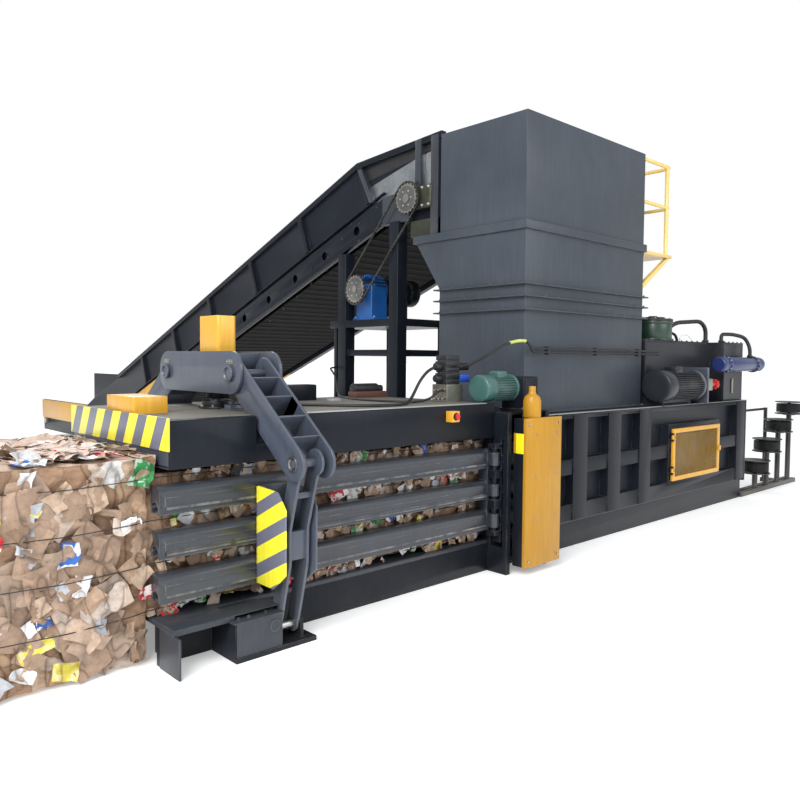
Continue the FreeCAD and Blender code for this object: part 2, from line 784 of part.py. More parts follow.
def gate():
    """Three hollow rails with the striped thrust bracket and the hinge post, on the far side."""
    start, end = exit_x - rail_lead, tie_front - 8
    y0, y1 = outer - rail_depth, outer
    rails = []
    for low, height in zip(rail_bottoms, rail_heights):
        rail = cut(box(start, end, y0, y1, low, low + height),
                   box(start - 1, end - rail_wall, y0 + rail_wall, y1 - rail_wall,
                       low + rail_wall, low + height - rail_wall))
        rails.append(rail)
    bottom, top = rail_bottoms[0], rail_tops[-1]
    touch_z = lever_bend[0][1] + 106
    post = box(end - 60, end, y0 + 4, y1, bottom, top)
    x0 = clamp_x + crosshead_plates[0][0] + 2
    x1 = x0 + thrust_width
    back = box(x0, x1, y1, y1 + 15, bottom + 4, top - 53)
    outline = [(y1, bottom + 4), (outer + 170, bottom + 12), (thrust_reach, bottom + 96),
               (thrust_reach, top - 149), (outer + 187, top - 53), (y1, top - 63)]
    gussets = [prism(outline, "x", x, x + 12) for x in (x0, x1 - 12)]
    face = lever_face(touch_z) - touch_gap
    thrust = box(x0 + 6, x1 - 6, y1, face, touch_z - 30, touch_z + 30)
    knuckles = []
    for low, height in zip(rail_bottoms, rail_heights):
        z0, z1 = low + 25, low + height - 25
        knuckles.append(rod_z(z0, z1, hinge_x, hinge_y, hinge_knuckle_r))
        knuckles.append(box(hinge_x - 26, hinge_x + 26, y1 - 1, hinge_y, z0, z1))
    bore = rod_z(bottom, top, hinge_x, hinge_y, hinge_pin_r + fit_gap)
    whole = cut(join(rails + [post, back, thrust] + gussets + knuckles), bore)
    levels = [box(start, end, y0, y1, low, high) for low, high in zip(rail_bottoms, rail_tops)]
    return [whole.common(level).Solids[0] for level in levels] + cut(whole, levels).Solids


def lever_face(z):
    """Y of the lever bar's inner edge at a height between its two lower bends."""
    (y0, z0), (y1, z1) = lever_bend[0], lever_bend[1]
    return y0 + (y1 - y0) * (z - z0) / (z1 - z0) - lever_width / 2


def hinge_posts():
    """Hinge pin and the lugs that carry it, on the tie frame's front, on the far side."""
    bottom, top = rail_bottoms[0], rail_tops[-1]
    parts = [rod_z(bottom - 30, top + 30, hinge_x, hinge_y, hinge_pin_r)]
    gaps = [(bottom - 34, bottom - 4), (top + 4, top + 34)]
    gaps += [(below + lug_gap, above - lug_gap) for below, above in zip(rail_tops, rail_bottoms[1:])]
    for z0, z1 in gaps:
        parts.append(box(hinge_x - 26, tie_front + 1, outer + 3, hinge_y + 30, z0, z1))
    parts.append(box(tie_front, tie_front + 15, outer + 3, hinge_y + 30, floor_top, roof_bottom))
    return parts


# Feed hopper

def hopper_section(offset, low, high):
    """Hopper outline with its flared far side, pulled in by offset."""
    near, far = -hopper_half_y + offset, hopper_half_y - offset
    lip = far + (flare_reach - hopper_half_y)
    points = [(near, low), (near, high), (lip, high), (lip, eave), (far, flare_bottom), (far, low)]
    return prism(points, "x", -hopper_half + offset, hopper_half - offset)


def hopper_body():
    shell = hopper_section(0, body_top, eave + eave_band)
    ribs = [box(-hopper_half - rib_reach, hopper_half + rib_reach, -hopper_half_y - rib_reach,
                hopper_half_y + rib_reach, z - hopper_flange, z) for z in rib_levels]
    band = box(-hopper_half - 22, hopper_half + 22, -hopper_half_y - 22, flare_reach + 30,
               eave, eave + eave_band)
    foot = box(-hopper_half - 50, hopper_half + 50, -hopper_half_y - 50, hopper_half_y + 50,
               body_top, body_top + hopper_flange)
    return cut(join(shell, ribs, band, foot), hopper_section(hopper_wall, body_top - 1, eave + eave_band + 1))


def hopper_hood():
    """Box over the hopper with its far side open to the conveyor."""
    low = eave + eave_band
    box_out = box(-hopper_half, hopper_half, -hopper_half_y, hopper_half_y, low, hood_top)
    room = box(-hopper_half + hopper_wall, hopper_half - hopper_wall, -hopper_half_y + hopper_wall,
               hopper_half_y + 1, low - 1, hood_top - hopper_wall)
    cheek = box(-hopper_half, hopper_half, hopper_half_y - hopper_wall, hopper_half_y, low, hood_top)
    mouth = box(-wall_half, wall_half, hopper_half_y - 20, hopper_half_y + 1, low - 1, hood_top - 60)
    return join(cut(box_out, room), cut(cheek, mouth))


def service_platform():
    """Platform at the rear of the hopper, its braces and handrail."""
    start, end = hopper_half + 22, hopper_half + platform_reach
    half = hopper_half_y - 5
    floor = box(start, end, -half, half, platform_top - 30, platform_top)
    foot = box(start, start + 8, -half, half, platform_top - 60, platform_top + 45)
    braces = [prism([(hopper_half, brace_foot), (hopper_half, brace_foot + 50), (end - 60, platform_top - 25),
                     (end - 10, platform_top - 25)], "y", y - 20, y + 20) for y in (-half + 30, half - 30)]
    rail_x, rail_y = end - handrail_r, half - handrail_r
    top = handrail_levels[-1][0]
    posts = [rod_z(platform_top - 1, top, rail_x - 70, s * rail_y, handrail_r) for s in (-1, 1)]
    rails = []
    for z, r in handrail_levels:
        route = [(hopper_half, -rail_y, z), (rail_x, -rail_y, z), (rail_x, rail_y, z), (hopper_half, rail_y, z)]
        rails.append(tube_path(route, r, 60)[0])
    return join([floor, foot] + braces + posts + rails)


# Feed conveyor

def low_edge(y):
    """Height of the conveyor's lower edge on the incline."""
    return knee_z - slope * (y - knee_y)


def conveyor_wall():
    """Outline plate, lower hollow band, ribs and top rail of the side wall at +X."""
    x0, x1 = wall_half, wall_half + wall_plate
    bend_top = foot_bend_y + 480
    box_start, box_end = foot_bend_y - 930, foot_bend_y + 180
    outline = [(hopper_half_y + 7, eave + eave_band + 5), (head_y + 40, eave + eave_band + 5),
               (head_y + 80, knee_z - 5), (knee_y, knee_z), (foot_bend_y, tail_low), (tail_end, tail_low),
               (tail_end, tail_high), (bend_top, tail_high), (box_end, low_edge(box_end) + wall_height),
               (box_end, low_edge(box_start) + wall_height), (box_start, low_edge(box_start) + wall_height),
               (crest_y, low_edge(crest_y) + wall_height), (hopper_half_y + 7, wall_top)]
    skin = prism(outline, "x", x0, x1)
    band_end = foot_bend_y - 3100
    end_z = low_edge(band_end)
    band = prism([(knee_y, knee_z), (knee_y, knee_z + band_height), (band_end, end_z + band_height),
                  (band_end, end_z)], "x", x1 - 1, x1 + band_depth)
    room = prism([(knee_y - 1, knee_z + 10), (knee_y - 1, knee_z + band_height - 10),
                  (band_end + 1, end_z + band_height - 10), (band_end + 1, end_z + 10)],
                 "x", x1 + 4, x1 + band_depth - 8)
    holes = [rod_x(x1 + 5, x1 + band_depth + 1, y, low_edge(y) + band_height / 2, band_hole_r)
             for y in range(knee_y + 370, int(band_end) - 200, band_hole_pitch)]
    band = cut(band, [room] + holes)
    tilt = math.atan(slope)
    ribs = []
    for i in range(6):
        y = knee_y + 220 + i * conveyor_rib_pitch
        z = low_edge(y) + band_height + 80
        height = (wall_height - band_height - 95) * math.cos(tilt)
        rib = box(x1 - 1, x1 + 50, -30, 30, 0, height)
        rib.rotate(Vector(0, 0, 0), Vector(1, 0, 0), -math.degrees(tilt))
        rib.translate(Vector(0, y, z))
        ribs.append(rib)
    rail_path = [(box_start, low_edge(box_start) + wall_height), (crest_y, low_edge(crest_y) + wall_height),
                 (hopper_half_y + 7, wall_top)]
    rail = prism(rail_path + [(y, z - rail_low) for y, z in reversed(rail_path)], "x", x1 - 1, x1 + 50)
    ledge_end = foot_bend_y - 500
    ledge_low = band_height + ledge_rise
    ledge = prism([(knee_y, knee_z + ledge_low), (knee_y, knee_z + ledge_low + 12),
                   (ledge_end, low_edge(ledge_end) + ledge_low + 12),
                   (ledge_end, low_edge(ledge_end) + ledge_low)], "x", x1 - 1, x1 + 40)
    side = join([skin, band, rail, ledge] + ribs)
    bores = [rod_x(x0 - 1, x1 + 100, y, z, shaft_r + fit_gap) for y, z in ((head_y, head_z), tail_centre())]
    return cut(side, bores)


def tail_centre():
    return tail_shaft_y, tail_low + belt_clear + belt_r


def mirror_x(shape):
    return shape.mirror(Vector(0, 0, 0), Vector(1, 0, 0))


def conveyor_frame():
    """Both side walls joined by cross tubes that run inside the belt loop."""
    wall = conveyor_wall()
    tubes = []
    for i in range(7):
        y = knee_y + 400 + i * conveyor_rib_pitch
        z = low_edge(y) + belt_r + 20
        tubes.append(box(-wall_half - 1, wall_half + 1, y - 40, y + 40, z - 30, z + 30))
    return join([wall, mirror_x(wall)] + tubes)


def belt_outline(inset):
    """The belt loop as a solid, pulled in by inset."""
    r = belt_r - inset
    tail_y, tail_z = tail_centre()
    rise = 2 * belt_r
    points = [(head_y, head_z + r), (knee_y, knee_z + belt_clear + rise - inset),
              (foot_bend_y + 100, tail_low + belt_clear + rise - inset), (tail_y, tail_z + r),
              (tail_y, tail_z - r), (foot_bend_y, tail_low + belt_clear + inset),
              (knee_y, knee_z + belt_clear + inset), (head_y, head_z - r)]
    loop = prism(points, "x", -belt_half, belt_half)
    return join(loop, rod_x(-belt_half, belt_half, head_y, head_z, r),
                rod_x(-belt_half, belt_half, tail_y, tail_z, r))


def slat_belt():
    return cut(belt_outline(0), belt_outline(belt_thick))


def drum_shaft(y, z, left):
    """Shaft with three carrier wheels inside the belt; left is its end at -X."""
    wheels = [rod_x(x - 40, x + 40, y, z, drum_r) for x in (-600, 0, 600)]
    return join([rod_x(left, wall_half + wall_plate + 60, y, z, shaft_r)] + wheels)


def sprocket(y, z):
    """Toothed wheel whose teeth stay inside the chain."""
    root = sprocket_r - tooth_height
    points = []
    for i in range(sprocket_teeth):
        for share, r in ((0.0, root), (0.25, root), (0.42, sprocket_r), (0.58, sprocket_r), (0.75, root)):
            angle = 2 * math.pi * (i + share) / sprocket_teeth
            points.append((y + r * math.cos(angle), z + r * math.sin(angle)))
    return prism(points, "x", chain_x - sprocket_thick / 2, chain_x + sprocket_thick / 2)


def head_shaft():
    return join(drum_shaft(head_y, head_z, chain_x - 20), sprocket(head_y, head_z))


def tail_shaft():
    y, z = tail_centre()
    return drum_shaft(y, z, -wall_half - wall_plate - 60)


def motor_sprocket():
    shaft = rod_x(chain_x - 20, reducer_x[0] + 60, drive_y, drive_z, drive_shaft_r)
    return join(sprocket(drive_y, drive_z), shaft)


def drive_chain():
    """Closed chain round both sprockets, kept a little outside their teeth."""
    r0 = sprocket_r + chain_gap
    r1 = r0 + chain_thick
    x0, x1 = chain_x - chain_width / 2, chain_x + chain_width / 2
    run = Vector(0, drive_y - head_y, drive_z - head_z)
    side = Vector(0, -run.z, run.y).normalize()
    loops = []
    for r in (r1, r0):
        corners = [(head_y + side.y * r, head_z + side.z * r), (drive_y + side.y * r, drive_z + side.z * r),
                   (drive_y - side.y * r, drive_z - side.z * r), (head_y - side.y * r, head_z - side.z * r)]
        loops.append(join(prism(corners, "x", x0, x1), rod_x(x0, x1, head_y, head_z, r),
                          rod_x(x0, x1, drive_y, drive_z, r)))
    return cut(loops[0], loops[1])


def tail_frame():
    """Painted side plates of the tail and the first lower channel of the incline."""
    x0, x1 = wall_half + wall_plate, wall_half + wall_plate + 30
    plate_low, plate_high = tail_low + 230, tail_high - 10
    side = box(x0, x1, foot_bend_y + 480, tail_end, plate_low, plate_high)
    band_start = foot_bend_y - 3100 + 5
    band = prism([(band_start, low_edge(band_start)), (band_start, low_edge(band_start) + band_height),
                  (foot_bend_y - 60, low_edge(foot_bend_y - 60) + band_height),
                  (foot_bend_y - 60, low_edge(foot_bend_y - 60))], "x", x0, x0 + band_depth)
    return [side, mirror_x(side), band, mirror_x(band)]


def conveyor_stand():
    """Posts under the conveyor head, their cross bars, the drive platform and a thin post."""
    half = stand_half
    parts = []
    for y in stand_y:
        top = low_edge(y + half) if y > knee_y else knee_z - 6
        parts.append(box(stand_x[0] - half, stand_x[0] + half, y - half, y + half, 0, top))
        parts.append(box(stand_x[1] - half, stand_x[1] + half, y - half, y + half, 0, platform_z))
        parts.append(box(*stand_x, y - 30, y + 30, stand_bar, stand_bar + 60))
    for x in stand_x:
        parts.append(box(x - 30, x + 30, *stand_y, stand_bar, stand_bar + 60))
    parts.append(box(stand_x[0] - half, stand_x[1] + half, stand_y[0] - half, stand_y[1] + 190,
                     platform_z - 70, platform_z))
    parts.append(box(stand_x[0] - thin_half, stand_x[0] + thin_half, thin_post_y - thin_half,
                     thin_post_y + thin_half, 0, platform_z - 10))
    return join(parts)


def gear_reducer():
    """Foot-mounted reducer on the drive platform."""
    x0, x1 = reducer_x
    case = join(box(x0, x1, drive_y - 120, drive_y + 120, platform_z + 25, drive_z + 60),
                rod_x(x0, x1, drive_y, drive_z + 20, 130),
                box(x0 - 10, x1 + 10, drive_y - 160, drive_y + 160, platform_z, platform_z + 30),
                rod_x(x0 - 30, x0, drive_y, drive_z, 70))
    return cut(case, rod_x(x0 - 40, x0 + 62, drive_y, drive_z, drive_shaft_r + fit_gap))


def conveyor_motor():
    x0 = reducer_x[1]
    body = [rod_x(x0, x0 + 25, drive_y, drive_z, 140),
            rod_x(x0 + 25, x0 + 330, drive_y, drive_z, drive_motor_r),
            box(x0 + 120, x0 + 230, drive_y - 60, drive_y + 60, drive_z + 90, drive_z + 155)]
    body += ribs_round(x0 + 30, x0 + 320, drive_y, drive_z, drive_motor_r - 5, drive_motor_r + 15, 16)
    feet = box(x0 + 60, x0 + 280, drive_y - 110, drive_y + 110, platform_z, drive_z - 95)
    cowl = fan_cowl(-x0 - 450, -x0 - 330, drive_y, drive_z, 122, 4)
    return [join(body + [feet]), mirror_x(cowl)]


# Hydraulics and electrics

def oil_tank():
    """Tank with its filler filter, and the deeper cabinet end at the rear."""
    main = box(*tank_x, tank_near, tank_far, body_top, tank_high)
    step = box(tank_x[1] - step_length, tank_x[1], step_near, tank_near + 1, body_top, tank_high)
    lid = box(tank_x[0] + 60, tank_x[0] + 900, -330, 300, tank_high, tank_high + 14)
    drum = join(rod_z(tank_high + 14, tank_high + 200, filter_x, filter_y, filter_r),
                rod_z(tank_high + 200, tank_high + 222, filter_x, filter_y, filter_r - 20),
                rod_z(tank_high + 222, tank_high + 250, filter_x, filter_y, 60))
    return [join(main, step, lid), drum]


def pump_set():
    """Electric motor, mounting plate and pump in one line."""
    x = pump_start
    shaft_end = x + 1210
    body = [rod_x(x, x + 710, pump_y, pump_z, pump_motor_r),
            rod_x(x + 710, x + 735, pump_y, pump_z, pump_motor_r + 20),
            rod_x(x + 735, x + 825, pump_y, pump_z, 95),
            box(x + 825, x + 850, pump_y - 120, pump_y + 160, body_top, pump_z + 175),
            rod_x(x + 850, x + 950, pump_y, pump_z, 70),
            box(x + 950, x + 1070, pump_y - 62, pump_y + 62, pump_z - 62, pump_z + 62),
            rod_x(x + 1070, shaft_end, pump_y, pump_z, 24),
            box(x + 70, x + 630, pump_y - 40, pump_y + 160, body_top, pump_z - 110),
            box(x + 270, x + 410, pump_y - 60, pump_y + 60, pump_z + 115, pump_z + 185)]
    body += ribs_round(x + 130, x + 700, pump_y, pump_z, pump_motor_r - 5, pump_motor_r + 12, 18)
    return cut(join(body), rod_x(shaft_end - 40, shaft_end + 1, pump_y, pump_z, 10 + fit_gap),
               box(x - 30, shaft_end + 60, pump_y - 200, pump_y + 200, body_top - 200, body_top))


def valve_knob():
    """Red knob of the relief valve, with its spindle."""
    x = pump_start + 1211
    return join(rod_x(x, x + 45, pump_y, pump_z, knob_r), rod_x(x - 39, x + 1, pump_y, pump_z, 10))


def oil_cooler():
    """Round cooler with domed ends on two saddles at the near rear corner."""
    x0, x1 = cooler_x
    shell = rod_x(x0, x1, cooler_y, cooler_z, cooler_r)
    shell = shell.makeFillet(60, [e for e in shell.Edges if e.Closed])
    flanges = [rod_x(x, x + 18, cooler_y, cooler_z, cooler_r + 14) for x in (x0 + 150, x1 - 168)]
    saddles = [box(x, x + 40, cooler_y, step_near, cooler_z - 40, cooler_z + 40) for x in (x0 + 400, x1 - 360)]
    return join([shell] + flanges + saddles)


def oil_pipes():
    """Formed steel pipes: filter to tank, tank to cooler, and two along the hopper."""
    top = tank_high
    x = filter_x + filter_r
    end = cooler_x[1] - 240
    filter_pipe = [(x, filter_y, top + 120), (x + 90, filter_y, top + 120), (x + 210, -300, top + 200),
                   (x + 560, -400, top + 225), (x + 670, -410, top + 150), (x + 670, -410, top)]
    cooler_pipe = [(end - 350, -520, top), (end - 350, -520, top + 90), (end - 150, -560, top + 95),
                   (end - 10, -640, top + 60), (end, cooler_y, top - 60), (end, cooler_y, cooler_z + cooler_r)]
    pipes = [tube_path(filter_pipe, 22)[0], tube_path(cooler_pipe, 20)[0]]
    runs = [rod_x(-hopper_half + 60, hopper_half + 118, -hopper_half_y - 30, z, 10) for z in pipe_levels]
    clips = [box(x - 12, x + 12, -hopper_half_y - 42, -hopper_half_y, pipe_levels[0] - 17, pipe_levels[1] + 17)
             for x in (-700, 0, 700)]
    return pipes + [join(runs + clips)]


def valve_block():
    """Manifold with stacked valves, and the solenoids on its ends."""
    x0, x1 = valve_x
    y0, y1 = valve_y
    block = [box(x0, x1, y0, y1, beam_top, beam_top + 130)]
    for i, z in enumerate((beam_top + 130, beam_top + 215)):
        block.append(box(x0 + 15, x1 - 15, y0 + 20, y1 - 20, z, z + 85))
    block.append(box(x0 + 40, x1 - 40, y0 + 30, y1 - 30, beam_top + 290, beam_top + 340))
    coils = []
    for z in (beam_top + 172, beam_top + 257):
        coils.append(rod_x(x1 - 15, x1 + 125, (y0 + y1) / 2, z, 27))
    return [join(block)] + coils + deck_boxes()


def deck_boxes():
    """Junction box, pilot valve and terminal block on the far half of the deck."""
    low = beam_top
    x = tie_front
    junction = box(x - 1060, x - 820, 350, 470, low, low + 118)
    pilot = join(box(x - 410, x - 80, 400, 500, low, low + 50), rod_x(x - 400, x - 160, 450, low + 72, 44),
                 rod_x(x - 160, x - 105, 450, low + 72, 30))
    block = box(x - 830, x - 745, 160, 225, low, low + 22)
    return [junction, pilot, block]


def estop_box():
    y = -outer - estop_depth
    centre_x, centre_z = sum(estop_x) / 2, sum(estop_z) / 2
    case = box(*estop_x, y, -outer, *estop_z)
    return cut(case, rod_y(y - 1, y + 20, centre_x, centre_z, stem_r + fit_gap))


def estop_button():
    y = -outer - estop_depth
    centre_x, centre_z = sum(estop_x) / 2, sum(estop_z) / 2
    stem = rod_y(y - 7.5, y + 8, centre_x, centre_z, stem_r)
    return join(stem, rod_y(y - 24, y - 7.5, centre_x, centre_z, 20))


def access_door():
    """Framed mesh panel with two hinge knuckles."""
    y0, y1 = -outer - 30, -outer - 5
    frame = cut(box(door_start, door_end, y0, y1, door_low, door_high),
                box(door_start + door_frame, door_end - door_frame, y0 - 1, y1 + 1,
                    door_low + door_frame, door_high - door_frame))
    mesh = box(door_start + door_frame - 1, door_end - door_frame + 1, y0 + 10, y0 + 14,
               door_low + door_frame - 1, door_high - door_frame + 1)
    x, y = door_start - door_hinge_back, -outer - door_axis
    knuckles = []
    for level in hinge_levels:
        knuckle = join(rod_z(level - 20, level + 20, x, y, 13),
                       box(x, door_start + 30, y, y + 10, level - 20, level + 20))
        knuckles.append(knuckle)
    latch = box(door_end - 50, door_end - 14, y0 - 22, y0, door_low + 227, door_low + 277)
    bores = [rod_z(level - 21, level + 21, x, y, door_pin_r + fit_gap) for level in hinge_levels]
    return cut(join([frame, mesh, latch] + knuckles), bores)


# Wire reels

def reel_places():
    return [(rear_x + reel_first + i * reel_pitch, top) for i, top in enumerate(reel_tops)]


def reel_stand():
    """Base frame, one post for each reel and the bar back to the press."""
    last = reel_places()[-1][0]
    parts = [box(rear_x, last + 90, reel_y - 70, reel_y - 20, 0, 50),
             box(rear_x, last + 90, reel_y + 20, reel_y + 70, 0, 50)]
    for x, top in reel_places():
        parts.append(box(x - 40, x + 40, reel_y - 70, reel_y + 70, 0, 50))
        parts.append(rod_z(0, top - reel_height - 12, x, reel_y, reel_post_r))
        parts.append(rod_z(top - reel_height - 12, top - reel_height - 4, x, reel_y, 70))
        parts.append(rod_z(top - reel_height - 5, top - 20, x, reel_y, spindle_r))
    guide_x = last - reel_r - 50
    parts.append(rod_z(0, guide_height, guide_x, reel_y + reel_r + 40, 22))
    parts.append(box(guide_x - 40, guide_x + 40, reel_y + 60, reel_y + reel_r + 70, 0, 50))
    parts.append(rod_x(rear_x, guide_x + 22, reel_y + reel_r + 40, guide_height - 15, 15))
    return join(parts)


def reel(x, top):
    """Flat wire drum that turns on its spindle."""
    low = top - reel_height
    drum = join(rod_z(low, low + 12, x, reel_y, reel_r), rod_z(top - 12, top, x, reel_y, reel_r),
                rod_z(low, top, x, reel_y, reel_r - 22))
    return cut(drum, rod_z(low - 1, top - 15, x, reel_y, spindle_r + fit_gap))


# Contents, fasteners and hoses

def waste_bale():
    """Pressed waste: snug in the channel and swollen where it stands out of the exit."""
    half = inner - bale_gap - 6
    start = exit_x - rail_lead - 5
    inside = box(start, tie_front + 130, -half, half, floor_top, roof_bottom - bale_gap)
    outside = box(start - bale_length, start + 1, -inner - bale_swell, inner + bale_swell, 0, bale_top)
    return join(inside, outside)


def bolts():
    """Lever foot pins, guard screws and the screws of the cylinder flange."""
    parts = []
    for s in (-1, 1):
        parts.append(rod_x(clamp_x - 125, clamp_x + 65, s * foot_y, foot_z, pin_r))
    for x in (housing_x[0] + 30, housing_x[1] - 30):
        for z in (housing_z[0] + 40, housing_z[1] - 40):
            y = -housing_reach - slide_gap - 3
            parts.append(Part.makeCylinder(9, 7, Vector(x, y - 7, z), Vector(0, 1, 0)))
    for i in range(8):
        angle = math.radians(22.5 + i * 45)
        y = (cylinder_r + 50) * math.cos(angle)
        z = axis_z + (cylinder_r + 50) * math.sin(angle)
        parts.append(rod_x(rear_x + flange_plate, rear_x + flange_plate + 15, y, z, 15))
    return parts


hose_r = 11
on_deck = beam_top + hose_r
deck_hose_route = [(-1715, -345, 1469), (-1800, -345, 1469), (-1920, -350, 1390), (-2020, -360, 1250),
                   (-2150, -450, on_deck), (-2300, -535, on_deck), (-2450, -505, on_deck),
                   (-2570, -420, on_deck), (-2690, -270, on_deck), (-2800, -140, on_deck),
                   (-2980, -60, on_deck), (-3090, 0, on_deck + 6), (-3191.5, 0, on_deck + 6)]
cable_r = 9
cable_deck = beam_top + cable_r
deck_cable_route = [(-882, 1950, 1430), (-955, 1950, 1430), (-1035, 1800, 1394), (-1131, 1618, 1339),
                    (-1256, 1451, 1303), (-1381, 1285, 1273), (-1506, 1119, 1250), (-1630, 953, 1234),
                    (-1755, 786, 1224), (-1880, 620, cable_deck), (-1985, 430, cable_deck),
                    (-2060, 230, cable_deck), (-2090, 20, cable_deck), (-2050, -180, cable_deck),
                    (-1965, -330, cable_deck), (-1870, -385, 1240), (-1810, -388, 1280), (-1775, -385, 1300),
                    (-1730, -385, 1300)]


def main():
    save("base_frame", base_frame())
    save("press_floor", press_floor())
    save("top_beam", *top_beam())
    save("hazard_plate", hazard_plate())
    save("front_cover", front_cover())
    save("near_wall", near_wall())
    save("far_wall", far_wall())
    save("chamber_roof", chamber_roof())
    save("rear_plate", rear_plate())
    hinges = hinge_posts()
    save("tie_frame", join([tie_frame()] + hinges + [flip(h) for h in hinges]))
    save("tie_housing", tie_housing())
    save("tie_guard", *tie_guard())
    save("twister_shaft", twister_shaft())
    save("twister_motor", *twister_motor())
    save("needle_track", needle_track())
    save("needle_carriage", needle_carriage())
    save("ram", ram())
    save("piston_rod", piston_rod())
    save("ram_cylinder", ram_cylinder())
    save("crosshead", *crosshead())
    save("clamp_cylinder", clamp_cylinder())
    save("clamp_rod", clamp_rod())
    save("cylinder_cover", cylinder_cover())
    save("arm_far", *arm())
    save("arm_near", *[flip(s) for s in arm()])
    save("lever_far", *lever())
    save("lever_near", *[flip(s) for s in lever()])
    save("gate_far", *gate())
    save("gate_near", *[flip(s) for s in gate()])
    save("hopper_body", hopper_body())
    save("hopper_hood", hopper_hood())
    save("service_platform", service_platform())
    save("conveyor_frame", conveyor_frame())
    save("slat_belt", slat_belt())
    save("tail_frame", *tail_frame())
    save("conveyor_stand", conveyor_stand())
    save("gear_reducer", gear_reducer())
    save("conveyor_motor", *conveyor_motor())
    save("drive_chain", drive_chain())
    save("head_shaft", head_shaft())
    save("tail_shaft", tail_shaft())
    save("motor_sprocket", motor_sprocket())
    save("oil_tank", *oil_tank())
    save("pump_set", pump_set())
    save("valve_knob", valve_knob())
    save("oil_cooler", oil_cooler())
    save("oil_pipes", *oil_pipes())
    save("valve_block", *valve_block())
    save("estop_box", estop_box())
    save("estop_button", estop_button())
    save("access_door", access_door())
    save("reel_stand", reel_stand())
    for i, (x, top) in enumerate(reel_places()):
        save(f"reel_{i + 1}", reel(x, top))
    save("waste_bale", waste_bale())
    save("bolts", *bolts())
    cords = [("deck_hose", deck_hose_route, hose_r), ("deck_cable", deck_cable_route, cable_r)]
    for name, route, radius in cords:
        cord, radii = tube_path(route, radius)
        length = cord.Volume / (math.pi * radius ** 2)
        print(name, "length", round(length), "least arc radius", round(min(radii)))
        save(name, cord)


main()
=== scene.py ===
import json
import math
import random

import bpy
from mathutils import Matrix, Vector, noise

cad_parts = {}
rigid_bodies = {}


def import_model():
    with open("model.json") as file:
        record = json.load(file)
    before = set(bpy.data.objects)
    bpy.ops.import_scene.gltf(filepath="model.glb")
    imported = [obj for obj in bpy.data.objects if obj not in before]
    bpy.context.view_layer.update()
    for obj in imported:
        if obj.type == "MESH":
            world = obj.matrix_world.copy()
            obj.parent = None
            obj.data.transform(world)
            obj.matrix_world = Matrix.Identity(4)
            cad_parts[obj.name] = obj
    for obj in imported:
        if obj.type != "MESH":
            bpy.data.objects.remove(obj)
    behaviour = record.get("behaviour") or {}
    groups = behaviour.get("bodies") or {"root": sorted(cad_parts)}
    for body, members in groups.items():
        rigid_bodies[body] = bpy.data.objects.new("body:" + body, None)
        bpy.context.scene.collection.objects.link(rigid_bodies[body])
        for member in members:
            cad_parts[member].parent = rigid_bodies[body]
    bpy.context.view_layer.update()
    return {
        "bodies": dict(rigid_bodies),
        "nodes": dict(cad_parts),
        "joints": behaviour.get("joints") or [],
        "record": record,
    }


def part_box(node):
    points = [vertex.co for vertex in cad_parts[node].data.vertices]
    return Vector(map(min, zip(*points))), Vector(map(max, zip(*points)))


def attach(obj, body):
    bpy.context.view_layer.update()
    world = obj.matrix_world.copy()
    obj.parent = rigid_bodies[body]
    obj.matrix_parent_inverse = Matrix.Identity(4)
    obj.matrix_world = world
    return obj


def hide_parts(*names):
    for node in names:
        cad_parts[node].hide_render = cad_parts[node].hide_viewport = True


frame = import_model()
nodes = frame["nodes"]
random.seed(41)


# camera and light

view = {"place": (-5.55, -4.022, 1.519), "yaw": 46.956, "pitch": -2.518, "roll": 0.467,
        "lens": 33.2, "shiftUp": -0.01025}


def addCamera():
    yaw, pitch, roll = (math.radians(view[k]) for k in ("yaw", "pitch", "roll"))
    ahead = Vector((math.cos(pitch) * math.cos(yaw), math.cos(pitch) * math.sin(yaw), math.sin(pitch)))
    level = Vector((math.sin(yaw), -math.cos(yaw), 0))
    upright = level.cross(ahead)
    right = level * math.cos(roll) + upright * math.sin(roll)
    up = upright * math.cos(roll) - level * math.sin(roll)
    data = bpy.data.cameras.new("camera")
    data.lens = view["lens"]
    data.sensor_width = 36
    data.shift_y = view["shiftUp"]
    data.clip_end = 300
    camera = bpy.data.objects.new("camera", data)
    bpy.context.scene.collection.objects.link(camera)
    turn = Matrix((right, up, -ahead)).transposed().to_4x4()
    camera.matrix_world = Matrix.Translation(view["place"]) @ turn
    bpy.context.scene.camera = camera


def addAreaLight(name, place, target, size, power, colour=(1, 1, 1)):
    data = bpy.data.lights.new(name, "AREA")
    data.shape = "RECTANGLE"
    data.size, data.size_y = size
    data.energy = power
    data.color = colour
    light = bpy.data.objects.new(name, data)
    light.matrix_world = (Matrix.Translation(place)
                          @ (Vector(target) - Vector(place)).to_track_quat("-Z", "Y").to_matrix().to_4x4())
    bpy.context.scene.collection.objects.link(light)


def addWorld():
    world = bpy.data.worlds.new("studio")
    bpy.context.scene.world = world
    world.use_nodes = True
    tree = world.node_tree
    for node in list(tree.nodes):
        tree.nodes.remove(node)
    out = tree.nodes.new("ShaderNodeOutputWorld")
    pale = tree.nodes.new("ShaderNodeBackground")
    pale.inputs["Color"].default_value = (1, 1, 1, 1)
    pale.inputs["Strength"].default_value = 1.0
    soft = tree.nodes.new("ShaderNodeBackground")
    soft.inputs["Color"].default_value = (0.93, 0.96, 1.0, 1)
    soft.inputs["Strength"].default_value = 0.62
    rays = tree.nodes.new("ShaderNodeLightPath")
    mix = tree.nodes.new("ShaderNodeMixShader")
    tree.links.new(rays.outputs["Is Camera Ray"], mix.inputs["Fac"])
    tree.links.new(soft.outputs["Background"], mix.inputs[1])
    tree.links.new(pale.outputs["Background"], mix.inputs[2])
    tree.links.new(mix.outputs["Shader"], out.inputs["Surface"])


